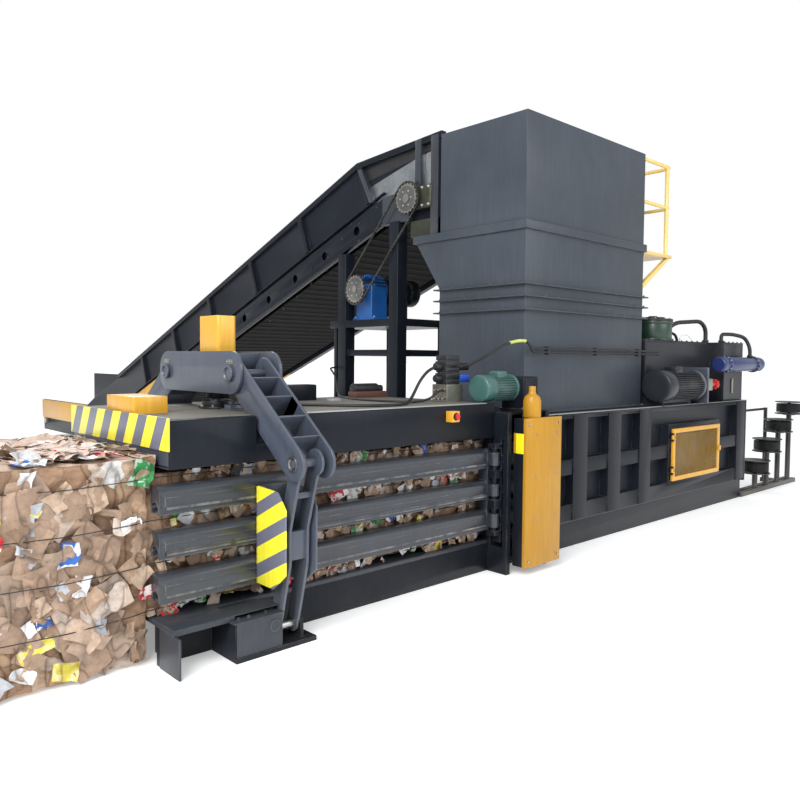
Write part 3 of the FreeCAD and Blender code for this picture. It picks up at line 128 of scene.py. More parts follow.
addCamera()
addWorld()
addAreaLight("keyLight", (-11, -5, 8), (-1.5, 0, 1.2), (7, 7), 1500)
addAreaLight("fillLight", (3, -12, 6), (0, 0, 1.2), (8, 5), 420)
addAreaLight("backLight", (3, 14, 9), (0, 3, 1.5), (8, 6), 600)
bpy.context.scene.view_settings.view_transform = "Standard"
print("camera and lights are set")


# material makers

def newMaterial(name):
    material = bpy.data.materials.new(name)
    material.use_nodes = True
    tree = material.node_tree
    return material, tree, tree.nodes["Principled BSDF"]


def addNode(tree, kind, **settings):
    node = tree.nodes.new(kind)
    for key, value in settings.items():
        if key in node.inputs.keys():
            node.inputs[key].default_value = value
        else:
            setattr(node, key, value)
    return node


def rampNode(tree, source, stops, interpolation="LINEAR"):
    ramp = tree.nodes.new("ShaderNodeValToRGB")
    ramp.color_ramp.interpolation = interpolation
    elements = ramp.color_ramp.elements
    while len(elements) < len(stops):
        elements.new(0.5)
    for element, (place, colour) in zip(elements, stops):
        element.position = place
        element.color = (*colour, 1) if len(colour) == 3 else colour
    tree.links.new(source, ramp.inputs["Fac"])
    return ramp.outputs["Color"]


def grey(value):
    return (value, value, value)


def mixColour(tree, factor, first, second, blend="MIX"):
    mix = tree.nodes.new("ShaderNodeMix")
    mix.data_type = "RGBA"
    mix.blend_type = blend
    for socket, value in ((mix.inputs["Factor"], factor), (mix.inputs[6], first), (mix.inputs[7], second)):
        if isinstance(value, (int, float)):
            socket.default_value = value
        elif isinstance(value, tuple):
            socket.default_value = (*value, 1)
        else:
            tree.links.new(value, socket)
    return mix.outputs[2]


def mathNode(tree, operation, first, second=0.0, clamp=False):
    node = addNode(tree, "ShaderNodeMath", operation=operation, use_clamp=clamp)
    for socket, value in zip(node.inputs, (first, second)):
        if isinstance(value, (int, float)):
            socket.default_value = value
        else:
            tree.links.new(value, socket)
    return node.outputs[0]


def noiseValue(tree, place, scale, detail=4.0, rough=0.55, stretch=None):
    if stretch:
        mapping = addNode(tree, "ShaderNodeMapping", Scale=stretch)
        tree.links.new(place, mapping.inputs["Vector"])
        place = mapping.outputs["Vector"]
    node = addNode(tree, "ShaderNodeTexNoise", Scale=scale, Detail=detail, Roughness=rough)
    tree.links.new(place, node.inputs["Vector"])
    return node.outputs["Fac"]


def objectPlace(tree):
    return tree.nodes.new("ShaderNodeTexCoord").outputs["Object"]


def wearMask(tree, place, radius):
    bevel = addNode(tree, "ShaderNodeBevel", samples=4, Radius=radius)
    shape = tree.nodes.new("ShaderNodeNewGeometry")
    dot = addNode(tree, "ShaderNodeVectorMath", operation="DOT_PRODUCT")
    tree.links.new(bevel.outputs["Normal"], dot.inputs[0])
    tree.links.new(shape.outputs["Normal"], dot.inputs[1])
    edge = mathNode(tree, "SUBTRACT", 1.0, dot.outputs["Value"], clamp=True)
    patchy = noiseValue(tree, place, 9.0, 6.0, 0.7)
    patches = rampNode(tree, patchy, [(0.42, grey(0)), (0.62, grey(1))])
    return mathNode(tree, "MULTIPLY", mathNode(tree, "MULTIPLY", edge, 3.0, clamp=True), patches, clamp=True)


def dustMask(tree, place, low, high):
    split = tree.nodes.new("ShaderNodeSeparateXYZ")
    tree.links.new(place, split.inputs[0])
    fall = addNode(tree, "ShaderNodeMapRange")
    tree.links.new(split.outputs["Z"], fall.inputs["Value"])
    fall.inputs["From Min"].default_value = high
    fall.inputs["From Max"].default_value = low
    facing = tree.nodes.new("ShaderNodeNewGeometry")
    parts = tree.nodes.new("ShaderNodeSeparateXYZ")
    tree.links.new(facing.outputs["Normal"], parts.inputs[0])
    upward = mathNode(tree, "MULTIPLY", mathNode(tree, "SUBTRACT", parts.outputs["Z"], 0.5, clamp=True), 1.1)
    both = mathNode(tree, "MAXIMUM", fall.outputs["Result"], upward)
    cloud = rampNode(tree, noiseValue(tree, place, 3.5, 8.0, 0.65), [(0.35, grey(0)), (0.75, grey(1))])
    return mathNode(tree, "MULTIPLY", both, cloud, clamp=True)


def paint(name, base, second, rough=0.38, wear=(0.34, 0.33, 0.31), dust=(0.30, 0.26, 0.20), dustHeight=0.5,
          wearRadius=0.006, dusty=0.55, coat=0.25, shine=0.5):
    material, tree, shader = newMaterial(name)
    place = objectPlace(tree)
    broad = noiseValue(tree, place, 1.6, 5.0, 0.6)
    colour = rampNode(tree, broad, [(0.30, base), (0.72, second)])
    streak = rampNode(tree, noiseValue(tree, place, 7.0, 4.0, 0.6, (6.0, 6.0, 0.5)),
                      [(0.45, grey(0.80)), (0.65, grey(1.12))])
    colour = mixColour(tree, 0.35, colour, streak, "MULTIPLY")
    wearing = wearMask(tree, place, wearRadius)
    colour = mixColour(tree, mathNode(tree, "MULTIPLY", wearing, 0.55), colour, wear)
    dusting = mathNode(tree, "MULTIPLY", dustMask(tree, place, 0.0, dustHeight), dusty)
    colour = mixColour(tree, dusting, colour, dust)
    tree.links.new(colour, shader.inputs["Base Color"])
    fine = noiseValue(tree, place, 60.0, 3.0, 0.6)
    roughness = mathNode(tree, "ADD", mathNode(tree, "MULTIPLY", fine, 0.16), rough - 0.08)
    roughness = mathNode(tree, "ADD", roughness, mathNode(tree, "MULTIPLY", dusting, 0.5), clamp=True)
    tree.links.new(roughness, shader.inputs["Roughness"])
    shader.inputs["Specular IOR Level"].default_value = shine
    shader.inputs["Coat Weight"].default_value = coat
    shader.inputs["Coat Roughness"].default_value = 0.22
    bump = addNode(tree, "ShaderNodeBump", Strength=0.12, Distance=0.002)
    waves = mathNode(tree, "ADD", noiseValue(tree, place, 240.0, 2.0), mathNode(tree, "MULTIPLY", broad, 4.0))
    tree.links.new(waves, bump.inputs["Height"])
    tree.links.new(bump.outputs["Normal"], shader.inputs["Normal"])
    return material


def metal(name, base, second, rough=0.32, metallic=1.0, grain=None, stain=(0.10, 0.07, 0.05), shine=0.5):
    material, tree, shader = newMaterial(name)
    place = objectPlace(tree)
    colour = rampNode(tree, noiseValue(tree, place, 5.0, 6.0, 0.65), [(0.35, base), (0.70, second)])
    spots = rampNode(tree, noiseValue(tree, place, 22.0, 6.0, 0.7), [(0.58, grey(0)), (0.74, grey(1))])
    colour = mixColour(tree, mathNode(tree, "MULTIPLY", spots, 0.5), colour, stain)
    tree.links.new(colour, shader.inputs["Base Color"])
    lines = noiseValue(tree, place, 90.0, 3.0, 0.6, grain)
    tree.links.new(mathNode(tree, "ADD", mathNode(tree, "MULTIPLY", lines, 0.25), rough - 0.12),
                   shader.inputs["Roughness"])
    shader.inputs["Metallic"].default_value = metallic
    shader.inputs["Specular IOR Level"].default_value = shine
    bump = addNode(tree, "ShaderNodeBump", Strength=0.15, Distance=0.001)
    tree.links.new(lines, bump.inputs["Height"])
    tree.links.new(bump.outputs["Normal"], shader.inputs["Normal"])
    return material


def plastic(name, base, second, rough=0.35):
    material, tree, shader = newMaterial(name)
    place = objectPlace(tree)
    colour = rampNode(tree, noiseValue(tree, place, 14.0, 5.0, 0.6), [(0.35, base), (0.7, second)])
    tree.links.new(colour, shader.inputs["Base Color"])
    fine = noiseValue(tree, place, 320.0, 2.0, 0.6)
    tree.links.new(mathNode(tree, "ADD", mathNode(tree, "MULTIPLY", fine, 0.2), rough - 0.1),
                   shader.inputs["Roughness"])
    bump = addNode(tree, "ShaderNodeBump", Strength=0.1, Distance=0.0005)
    tree.links.new(fine, bump.inputs["Height"])
    tree.links.new(bump.outputs["Normal"], shader.inputs["Normal"])
    return material


def stripedPaint(name, stripes):
    material = paint(name, (0.92, 0.82, 0.03), (0.98, 0.90, 0.05), 0.36, coat=0.3, dusty=0.1)
    tree = material.node_tree
    shader = tree.nodes["Principled BSDF"]
    under = shader.inputs["Base Color"].links[0].from_socket
    split = tree.nodes.new("ShaderNodeSeparateXYZ")
    tree.links.new(objectPlace(tree), split.inputs[0])
    along = mathNode(tree, "ADD", split.outputs[stripes["axis"]], stripes["offset"])
    slanted = mathNode(tree, "ADD", along, mathNode(tree, "MULTIPLY", split.outputs["Z"], stripes["slant"]))
    turns = mathNode(tree, "FRACT", mathNode(tree, "DIVIDE", slanted, stripes["period"]))
    mask = mathNode(tree, "GREATER_THAN", turns, 1 - stripes["share"])
    colour = mixColour(tree, mask, under, stripes["colour"])
    tree.links.new(colour, shader.inputs["Base Color"])
    return material


paints = {
    "frame": paint("framePaint", (0.006, 0.008, 0.012), (0.012, 0.015, 0.022), 0.36, dusty=0.05, coat=0.03, shine=0.16),
    "clamp": paint("clampPaint", (0.055, 0.066, 0.092), (0.080, 0.094, 0.125), 0.34, dusty=0.35),
    "hopper": paint("hopperPaint", (0.039, 0.048, 0.062), (0.057, 0.069, 0.086), 0.40, dusty=0.03, coat=0.1, shine=0.3),
    "deck": paint("deckPaint", (0.085, 0.082, 0.072), (0.17, 0.16, 0.135), 0.6, dusty=0.8, coat=0.0),
    "yellow": paint("yellowPaint", (0.70, 0.34, 0.022), (0.78, 0.42, 0.035), 0.34, dusty=0.12),
    "guardYellow": paint("guardYellowPaint", (0.46, 0.22, 0.012), (0.53, 0.27, 0.020), 0.36, dusty=0.10, coat=0.1, shine=0.3),
    "paleYellow": paint("paleYellowPaint", (0.80, 0.55, 0.16), (0.88, 0.64, 0.22), 0.42, dusty=0.2),
    "teal": paint("tealPaint", (0.040, 0.115, 0.105), (0.060, 0.150, 0.135), 0.34, dusty=0.3),
    "blue": paint("bluePaint", (0.008, 0.095, 0.34), (0.012, 0.13, 0.43), 0.32, dusty=0.2),
    "navy": paint("navyPaint", (0.010, 0.020, 0.10), (0.018, 0.034, 0.15), 0.28, dusty=0.2),
    "green": paint("greenPaint", (0.012, 0.035, 0.022), (0.02, 0.055, 0.034), 0.36, dusty=0.3),
    "rail": paint("railPaint", (0.020, 0.024, 0.032), (0.034, 0.040, 0.052), 0.30, dusty=0.25, coat=0.35),
    # painted shade: the clamp's slate darkened for the lever feet and the press floor, which lie in the bale's shadow
    "shadedClampFoot": paint("shadedClampFootPaint", (0.024, 0.030, 0.041), (0.040, 0.047, 0.061), 0.36, dusty=0.10, coat=0.1, shine=0.3),
    "tank": paint("tankPaint", (0.016, 0.018, 0.023), (0.027, 0.030, 0.037), 0.34, dusty=0.25, coat=0.1, shine=0.3),
    "oxide": paint("oxidePaint", (0.10, 0.040, 0.030), (0.16, 0.060, 0.045), 0.5, dusty=0.3, coat=0.0),
    "bright": paint("brightPaint", (0.90, 0.78, 0.01), (0.95, 0.84, 0.02), 0.36, dusty=0.0),
    "meshYellow": paint("meshPaint", (0.30, 0.17, 0.020), (0.42, 0.24, 0.035), 0.45, dusty=0.4, coat=0.0),
    "edge": paint("edgePaint", (0.30, 0.31, 0.31), (0.42, 0.43, 0.42), 0.45, dusty=0.3, coat=0.0),
    "reel": paint("reelPaint", (0.008, 0.009, 0.011), (0.016, 0.017, 0.02), 0.42),
}
metals = {
    "steel": metal("bareSteel", (0.42, 0.42, 0.41), (0.56, 0.56, 0.55), 0.36),
    "cast": metal("castSteel", (0.30, 0.28, 0.24), (0.45, 0.42, 0.36), 0.46),
    "chrome": metal("chromeRod", (0.70, 0.71, 0.73), (0.80, 0.81, 0.83), 0.16),
    "dark": metal("darkSteel", (0.035, 0.036, 0.038), (0.075, 0.074, 0.072), 0.46, 0.8),
    "liner": metal("headLiner", (0.28, 0.30, 0.31), (0.46, 0.48, 0.49), 0.34, 0.9, (1.0, 1.0, 8.0)),
    "greasy": metal("greasySteel", (0.020, 0.024, 0.014), (0.060, 0.062, 0.040), 0.5, 0.4),
    "chain": metal("chainSteel", (0.055, 0.055, 0.052), (0.13, 0.125, 0.11), 0.4, 0.9),
    "belt": metal("beltSteel", (0.003, 0.003, 0.003), (0.009, 0.008, 0.007), 0.6, 0.0, stain=(0.012, 0.010, 0.008), shine=0.06),
    "worn": metal("wornPlate", (0.16, 0.16, 0.16), (0.30, 0.29, 0.27), 0.42),
}
plastics = {
    "red": plastic("redPlastic", (0.55, 0.012, 0.010), (0.66, 0.022, 0.015), 0.3),
    "black": plastic("blackPlastic", (0.012, 0.012, 0.013), (0.022, 0.022, 0.023), 0.45),
    "coil": plastic("bluePlastic", (0.012, 0.06, 0.42), (0.02, 0.09, 0.52), 0.35),
    "hose": plastic("hoseRubber", (0.010, 0.010, 0.011), (0.020, 0.020, 0.021), 0.5),
    "sleeve": plastic("yellowGreenSleeve", (0.42, 0.50, 0.10), (0.55, 0.62, 0.16), 0.45),
    "white": plastic("whitePlastic", (0.62, 0.63, 0.62), (0.74, 0.75, 0.74), 0.4),
    "orange": plastic("orangePlastic", (0.75, 0.16, 0.03), (0.85, 0.22, 0.04), 0.4),
}
hazardFront = stripedPaint("hazardFront", {"axis": "Y", "offset": 0.083, "slant": 0.55, "period": 0.2183,
                                          "share": 0.5, "colour": (0.145, 0.150, 0.205)})
hazardSide = stripedPaint("hazardSide", {"axis": "Y", "offset": 0.1414, "slant": 2.0, "period": 0.328,
                                        "share": 0.45, "colour": (0.145, 0.150, 0.205)})
print("materials are made")


# modelling helpers

def onlyThis(piece):
    bpy.ops.object.select_all(action="DESELECT")
    piece.select_set(True)
    bpy.context.view_layer.objects.active = piece


def settle(piece):
    onlyThis(piece)
    bpy.ops.object.transform_apply(location=True, rotation=True, scale=True)
    return piece


def cube(name, low, high):
    bpy.ops.object.select_all(action="DESELECT")
    bpy.ops.mesh.primitive_cube_add(size=1, location=[(a + b) / 2 for a, b in zip(low, high)],
                                    scale=[b - a for a, b in zip(low, high)])
    bpy.context.object.name = name
    return settle(bpy.context.object)


axisTurn = {"X": (0, math.pi / 2, 0), "Y": (math.pi / 2, 0, 0), "Z": (0, 0, 0)}


def rod(name, axis, start, end, across, radius, sides=32):
    middle = (start + end) / 2
    place = {"X": (middle, *across), "Y": (across[0], middle, across[1]), "Z": (*across, middle)}[axis]
    bpy.ops.object.select_all(action="DESELECT")
    bpy.ops.mesh.primitive_cylinder_add(vertices=sides, radius=radius, depth=abs(end - start), location=place,
                                        rotation=axisTurn[axis])
    bpy.context.object.name = name
    return settle(bpy.context.object)


def pickFaces(piece, test):
    onlyThis(piece)
    bpy.ops.object.mode_set(mode="EDIT")
    bpy.ops.mesh.select_mode(type="FACE")
    bpy.ops.mesh.select_all(action="DESELECT")
    bpy.ops.object.mode_set(mode="OBJECT")
    for face in piece.data.polygons:
        face.select = bool(test(face.center, face.normal))
    bpy.ops.object.mode_set(mode="EDIT")


def leaveEdit():
    bpy.ops.object.mode_set(mode="OBJECT")


def insetFaces(piece, test, thickness, depth, single=False):
    pickFaces(piece, test)
    bpy.ops.mesh.inset(thickness=thickness, depth=depth, use_individual=single)
    leaveEdit()


def rounded(piece, width, segments=2, angle=32):
    onlyThis(piece)
    modifier = piece.modifiers.new("rounding", "BEVEL")
    modifier.width = width
    modifier.segments = segments
    modifier.limit_method = "ANGLE"
    modifier.angle_limit = math.radians(angle)
    bpy.ops.object.modifier_apply(modifier=modifier.name)
    return piece


def smooth(piece, angle=35):
    onlyThis(piece)
    bpy.ops.object.shade_smooth_by_angle(angle=math.radians(angle))
    return piece


def placed(piece, matrix):
    piece.data.transform(matrix)
    return piece


def copyOf(piece, matrix=None):
    twin = piece.copy()
    twin.data = piece.data.copy()
    if matrix is not None:
        twin.data.transform(matrix)
        if matrix.determinant() < 0:
            twin.data.flip_normals()
    bpy.context.scene.collection.objects.link(twin)
    return twin


def joined(name, pieces):
    bpy.ops.object.select_all(action="DESELECT")
    for piece in pieces:
        piece.select_set(True)
    bpy.context.view_layer.objects.active = pieces[0]
    if len(pieces) > 1:
        bpy.ops.object.join()
    pieces[0].name = name
    return pieces[0]


def remove(*pieces):
    for piece in pieces:
        bpy.data.objects.remove(piece)


def finished(piece, body, material, stands=()):
    piece.data.materials.clear()
    piece.data.materials.append(material)
    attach(piece, body)
    if stands:
        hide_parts(*([stands] if isinstance(stands, str) else stands))
    return piece


def painted(pieces, material):
    for piece in pieces:
        piece.data.materials.clear()
        piece.data.materials.append(material)
    return pieces


# frame pieces, with their plate edges rounded

def plateCopy(node, width):
    twin = copyOf(nodes[node])
    for key in list(twin.keys()):
        if key.startswith("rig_"):
            del twin[key]
    twin.parent = None
    twin.name = node + "Shape"
    onlyThis(twin)
    bpy.ops.object.mode_set(mode="EDIT")
    bpy.ops.mesh.select_all(action="SELECT")
    bpy.ops.mesh.remove_doubles(threshold=0.00005)
    bpy.ops.mesh.dissolve_limited(angle_limit=math.radians(0.5))
    leaveEdit()
    rounded(twin, width)
    return smooth(twin)


# the press floor takes the darkened slate, painted shade for the bale's shadow
plateWork = {
    "base_frame": ("press", 0.004, "frame"), "press_floor": ("press", 0.002, "shadedClampFoot"),
    "top_beam": ("press", 0.006, "frame"), "near_wall": ("press", 0.004, "frame"),
    "far_wall": ("press", 0.004, "frame"), "chamber_roof": ("press", 0.004, "frame"),
    "rear_plate": ("press", 0.004, "frame"), "tie_frame": ("press", 0.004, "frame"),
    "tie_housing": ("press", 0.004, "frame"), "needle_track": ("press", 0.004, "frame"),
    "needle_carriage": ("needles", 0.002, "clamp"), "ram": ("ram_slider", 0.004, "worn"),
    "ram_cylinder": ("press", 0.003, "frame"), "crosshead": ("clamp_head", 0.005, "clamp"),
    "clamp_cylinder": ("clamp_head", 0.003, "frame"), "clamp_rod": ("press", 0.002, "clamp"),
    "arm_far": ("arm_far", 0.004, "clamp"), "arm_near": ("arm_near", 0.004, "clamp"),
    "lever_far": ("lever_far", 0.004, "clamp"), "lever_near": ("lever_near", 0.004, "clamp"),
    "hopper_body": ("press", 0.003, "hopper"), "hopper_hood": ("press", 0.004, "hopper"),
    "service_platform": ("press", 0.002, "paleYellow"), "conveyor_frame": ("press", 0.003, "frame"),
    "conveyor_stand": ("press", 0.004, "frame"), 
    "reel_stand": ("press", 0.003, "reel"), "tail_frame": ("press", 0.003, "yellow"),
    "hazard_plate": ("press", 0.003, "hazardFront"), "front_cover": ("press", 0.008, "yellow"),
    "cylinder_cover": ("clamp_head", 0.004, "yellow"), "estop_box": ("press", 0.004, "yellow"),
    "tie_guard": ("press", 0.002, "guardYellow"),
}
allMaterials = {**paints, **metals, **plastics, "hazardFront": hazardFront, "hazardSide": hazardSide}
for node, (body, width, materialName) in plateWork.items():
    piece = plateCopy(node, width)
    finished(piece, body, allMaterials[materialName], node)
print("plate pieces are rounded")


# small parts used in many places

def facing(place, axis):
    return Matrix.Translation(place) @ Vector(axis).to_track_quat("Z", "Y").to_matrix().to_4x4()


def copies(name, model, matrices):
    pieces = [copyOf(model, matrix) for matrix in matrices]
    remove(model)
    return joined(name, pieces)


def pickEdges(piece, test):
    onlyThis(piece)
    bpy.ops.object.mode_set(mode="EDIT")
    bpy.ops.mesh.select_mode(type="EDGE")
    bpy.ops.mesh.select_all(action="DESELECT")
    bpy.ops.object.mode_set(mode="OBJECT")
    for edge in piece.data.edges:
        first, second = (piece.data.vertices[i].co for i in edge.vertices)
        edge.select = bool(test(first, second))
    bpy.ops.object.mode_set(mode="EDIT")


def boltHead(across=0.012):
    head = rod("boltHead", "Z", 0.002, 0.002 + across, (0, 0), across, 6)
    insetFaces(head, lambda centre, normal: normal.z > 0.9, across * 0.16, across * 0.12)
    washer = rod("washer", "Z", 0, 0.003, (0, 0), across * 1.4, 14)
    insetFaces(washer, lambda centre, normal: normal.z > 0.9, 0.001, 0.0006)
    return joined("boltHead", [head, washer])


def boltRow(start, end, count):
    return [Vector(start).lerp(Vector(end), i / (count - 1)) for i in range(count)]


def bolted(name, body, places, axis, across=0.012, material=None):
    piece = copies(name, boltHead(across), [facing(place, axis) for place in places])
    return finished(piece, body, material or metals["steel"])


def roundedPath(points, bend):
    points = [Vector(point) for point in points]
    path = [points[0]]
    for before, corner, after in zip(points, points[1:], points[2:]):
        back = min(bend, 0.48 * (before - corner).length, 0.48 * (after - corner).length)
        start = corner + (before - corner).normalized() * back
        end = corner + (after - corner).normalized() * back
        for i in range(7):
            t = i / 6
            path.append(start.lerp(corner, t).lerp(corner.lerp(end, t), t))
    return path + [points[-1]]


def tube(name, points, radius, bend=0.08, sides=3):
    path = roundedPath(points, bend)
    curve = bpy.data.curves.new(name, "CURVE")
    curve.dimensions = "3D"
    curve.bevel_depth = radius
    curve.bevel_resolution = sides
    curve.use_fill_caps = True
    spline = curve.splines.new("POLY")
    spline.points.add(len(path) - 1)
    for point, place in zip(spline.points, path):
        point.co = (*place, 1)
    piece = bpy.data.objects.new(name, curve)
    bpy.context.scene.collection.objects.link(piece)
    onlyThis(piece)
    bpy.ops.object.convert(target="MESH")
    return smooth(bpy.context.object, 60)


def hexNut(axis, start, end, across, radius):
    nut = rod("nut", axis, start, end, across, radius, 6)
    return rounded(nut, radius * 0.08, 1)


# pressed waste: two crumpled blocks, the scraps that stand out of them and the wires

bale = {"cell": 0.16, "fold": 0.030, "lump": 0.022, "outCuts": 54, "inCuts": 34, "lengths": 3,
        "scrapSize": (0.095, 0.07), "scrapCount": 300, "gapScraps": 620, "wireRadius": 0.0026,
        "sheetSize": (0.30, 0.22), "sheetCount": 95, "topCount": 70,
        "kraft": [((0.37, 0.25, 0.175), 9, 0.0), ((0.48, 0.345, 0.255), 10, 0.0), ((0.29, 0.19, 0.13), 7, 0.0),
                  ((0.53, 0.42, 0.34), 5, 0.0), ((0.74, 0.76, 0.80), 2, 0.15), ((0.58, 0.05, 0.06), 1, 0.9),
                  ((0.04, 0.26, 0.08), 1, 0.4)],
        "pale": [((0.72, 0.55, 0.46), 5, 0.0), ((0.80, 0.66, 0.58), 5, 0.0), ((0.62, 0.46, 0.36), 3, 0.0), ((0.80, 0.50, 0.52), 1, 0.1)],
        "colours": [((0.37, 0.25, 0.17), 28, 0.0), ((0.51, 0.37, 0.27), 24, 0.0), ((0.23, 0.15, 0.10), 14, 0.0),
                    ((0.60, 0.50, 0.43), 10, 0.0), ((0.80, 0.80, 0.82), 13, 0.15), ((0.45, 0.46, 0.49), 6, 0.1),
                    ((0.66, 0.035, 0.045), 7, 0.9), ((0.03, 0.27, 0.07), 4, 0.5), ((0.03, 0.12, 0.44), 2, 0.9),
                    ((0.72, 0.60, 0.07), 2, 0.4), ((0.06, 0.06, 0.065), 1, 0.1)]}


def creaseShade(tree, place, colour, scale, strength):
    # painted shade in upright folds: dark lines where a broad noise crosses its middle value
    fold = noiseValue(tree, place, scale, 1.5, 0.5, (1.0, 1.0, 0.45))
    ridge = mathNode(tree, "ABSOLUTE", mathNode(tree, "SUBTRACT", fold, 0.5), 0.0)
    foldShade = rampNode(tree, ridge, [(0.0, (0.26, 0.20, 0.16)), (0.014, grey(0.72)), (0.045, grey(1.0))])
    return mixColour(tree, strength, colour, foldShade, "MULTIPLY")


def pressedPaper():
    material, tree, shader = newMaterial("pressedPaper")
    place = objectPlace(tree)
    warp = addNode(tree, "ShaderNodeTexNoise", Scale=5.0, Detail=3.0)
    tree.links.new(place, warp.inputs["Vector"])
    bent = addNode(tree, "ShaderNodeVectorMath", operation="MULTIPLY_ADD")
    tree.links.new(warp.outputs["Color"], bent.inputs[0])
    bent.inputs[1].default_value = (0.22, 0.22, 0.22)
    tree.links.new(place, bent.inputs[2])
    cells = addNode(tree, "ShaderNodeTexVoronoi", Scale=8.0)
    tree.links.new(bent.outputs[0], cells.inputs["Vector"])
    chance = tree.nodes.new("ShaderNodeSeparateXYZ")
    tree.links.new(cells.outputs["Color"], chance.inputs[0])
    brown = [(0.0, (0.36, 0.22, 0.135)), (0.22, (0.47, 0.31, 0.20)), (0.42, (0.40, 0.25, 0.155)),
             (0.60, (0.58, 0.41, 0.29)), (0.76, (0.30, 0.185, 0.115)), (0.86, (0.63, 0.50, 0.41)),
             (0.94, (0.76, 0.75, 0.74)), (0.975, (0.46, 0.30, 0.19))]
    colour = rampNode(tree, chance.outputs["X"], brown, "CONSTANT")
    border = addNode(tree, "ShaderNodeTexVoronoi", Scale=8.0, feature="DISTANCE_TO_EDGE")
    tree.links.new(bent.outputs[0], border.inputs["Vector"])
    # cell borders darkened: painted shade in the crevices between the pressed pieces
    creviceShade = rampNode(tree, border.outputs["Distance"], [(0.0, (0.16, 0.11, 0.08)), (0.05, grey(0.72)), (0.12, grey(1.0))])
    colour = mixColour(tree, 0.30, colour, creviceShade, "MULTIPLY")
    layers = rampNode(tree, noiseValue(tree, bent.outputs[0], 9.0, 8.0, 0.7, (1.0, 1.0, 3.5)),
                      [(0.34, grey(0.50)), (0.52, grey(0.95)), (0.70, grey(1.25))])
    colour = mixColour(tree, 0.8, colour, layers, "MULTIPLY")
    # painted shade in the creases of the pressed paper
    colour = creaseShade(tree, place, colour, 6.0, 0.85)
    facing = tree.nodes.new("ShaderNodeNewGeometry")
    upright = tree.nodes.new("ShaderNodeSeparateXYZ")
    tree.links.new(facing.outputs["Normal"], upright.inputs[0])
    top = rampNode(tree, upright.outputs["Z"], [(0.55, grey(0)), (0.9, grey(0.55))])
    colour = mixColour(tree, top, colour, (0.70, 0.56, 0.47))
    tree.links.new(colour, shader.inputs["Base Color"])
    shader.inputs["Roughness"].default_value = 0.86
    bump = addNode(tree, "ShaderNodeBump", Strength=0.7, Distance=0.012)
    crease = mathNode(tree, "ADD", noiseValue(tree, bent.outputs[0], 16.0, 8.0, 0.68),
                      mathNode(tree, "MULTIPLY", border.outputs["Distance"], 0.7, clamp=True))
    tree.links.new(crease, bump.inputs["Height"])
    tree.links.new(bump.outputs["Normal"], shader.inputs["Normal"])
    return material


def scrapPaper():
    material, tree, shader = newMaterial("scrapPaper")
    place = objectPlace(tree)
    tint = addNode(tree, "ShaderNodeAttribute", attribute_name="tint")
    print_ = rampNode(tree, noiseValue(tree, place, 26.0, 2.0, 0.4), [(0.50, grey(0)), (0.53, grey(1))])
    printed = mathNode(tree, "MULTIPLY", print_, tint.outputs["Alpha"], clamp=True)
    colour = mixColour(tree, printed, tint.outputs["Color"], (0.80, 0.79, 0.77))
    shade = rampNode(tree, noiseValue(tree, place, 30.0, 6.0, 0.7), [(0.35, grey(0.62)), (0.65, grey(1.1))])
    colour = mixColour(tree, 0.7, colour, shade, "MULTIPLY")
    # painted shade in the creases of the scraps
    colour = creaseShade(tree, place, colour, 7.0, 0.75)
    tree.links.new(colour, shader.inputs["Base Color"])
    shader.inputs["Roughness"].default_value = 0.72
    bump = addNode(tree, "ShaderNodeBump", Strength=0.5, Distance=0.004)
    tree.links.new(noiseValue(tree, place, 45.0, 6.0, 0.7), bump.inputs["Height"])
    tree.links.new(bump.outputs["Normal"], shader.inputs["Normal"])
    return material


def displaced(piece, texture, strength, middle=0.5):
    onlyThis(piece)
    modifier = piece.modifiers.new("crumple", "DISPLACE")
    modifier.texture = texture
    modifier.texture_coords = "LOCAL"
    modifier.strength = strength
    modifier.mid_level = middle
    bpy.ops.object.modifier_apply(modifier=modifier.name)


def crumpleTexture(name, kind, size):
    texture = bpy.data.textures.new(name, kind)
    texture.noise_scale = size
    return texture


folds = crumpleTexture("folds", "VORONOI", bale["cell"])
folds.weight_1, folds.weight_2 = -1.0, 1.0
folds.noise_intensity = 1.3
lumps = crumpleTexture("lumps", "CLOUDS", 0.22)
wrinkles = crumpleTexture("wrinkles", "CLOUDS", 0.035)


def crumpledBlock(name, low, high, cuts, lengths=0):
    block = cube(name, low, high)
    if lengths:
        pickEdges(block, lambda a, b: abs(a.x - b.x) > 0.5)
        bpy.ops.mesh.subdivide(number_cuts=lengths)
        leaveEdit()
    pickFaces(block, lambda centre, normal: True)
    bpy.ops.mesh.subdivide(number_cuts=cuts)
    leaveEdit()
    rounded(block, 0.012, 2)
    displaced(block, lumps, bale["lump"])
    displaced(block, folds, bale["fold"], 0.62)
    displaced(block, wrinkles, 0.010)
    return smooth(block, 24)


def tinted(piece, colour, printed):
    layer = piece.data.color_attributes.new("tint", "FLOAT_COLOR", "CORNER")
    layer.data.foreach_set("color", [*colour, printed] * len(layer.data))


def scrapModels(size, cuts, frequency, spread, fold):
    models = []
    for number in range(5):
        bpy.ops.object.select_all(action="DESELECT")
        bpy.ops.mesh.primitive_grid_add(x_subdivisions=cuts, y_subdivisions=cuts - 1, size=1, location=(0, 0, 0))
        scrap = bpy.context.object
        scrap.name = f"scrapModel{number}"
        scrap.scale = (*size, 1)
        settle(scrap)
        for corner in scrap.data.vertices:
            bend = noise.noise_vector(corner.co * frequency + Vector((number * 7.3, 1.7, 4.1)))
            corner.co += Vector((bend.x * spread, bend.y * spread, bend.z * fold))
        thickness = scrap.modifiers.new("thickness", "SOLIDIFY")
        thickness.thickness = 0.0014
        onlyThis(scrap)
        bpy.ops.object.modifier_apply(modifier=thickness.name)
        models.append(smooth(scrap, 25))
    return models


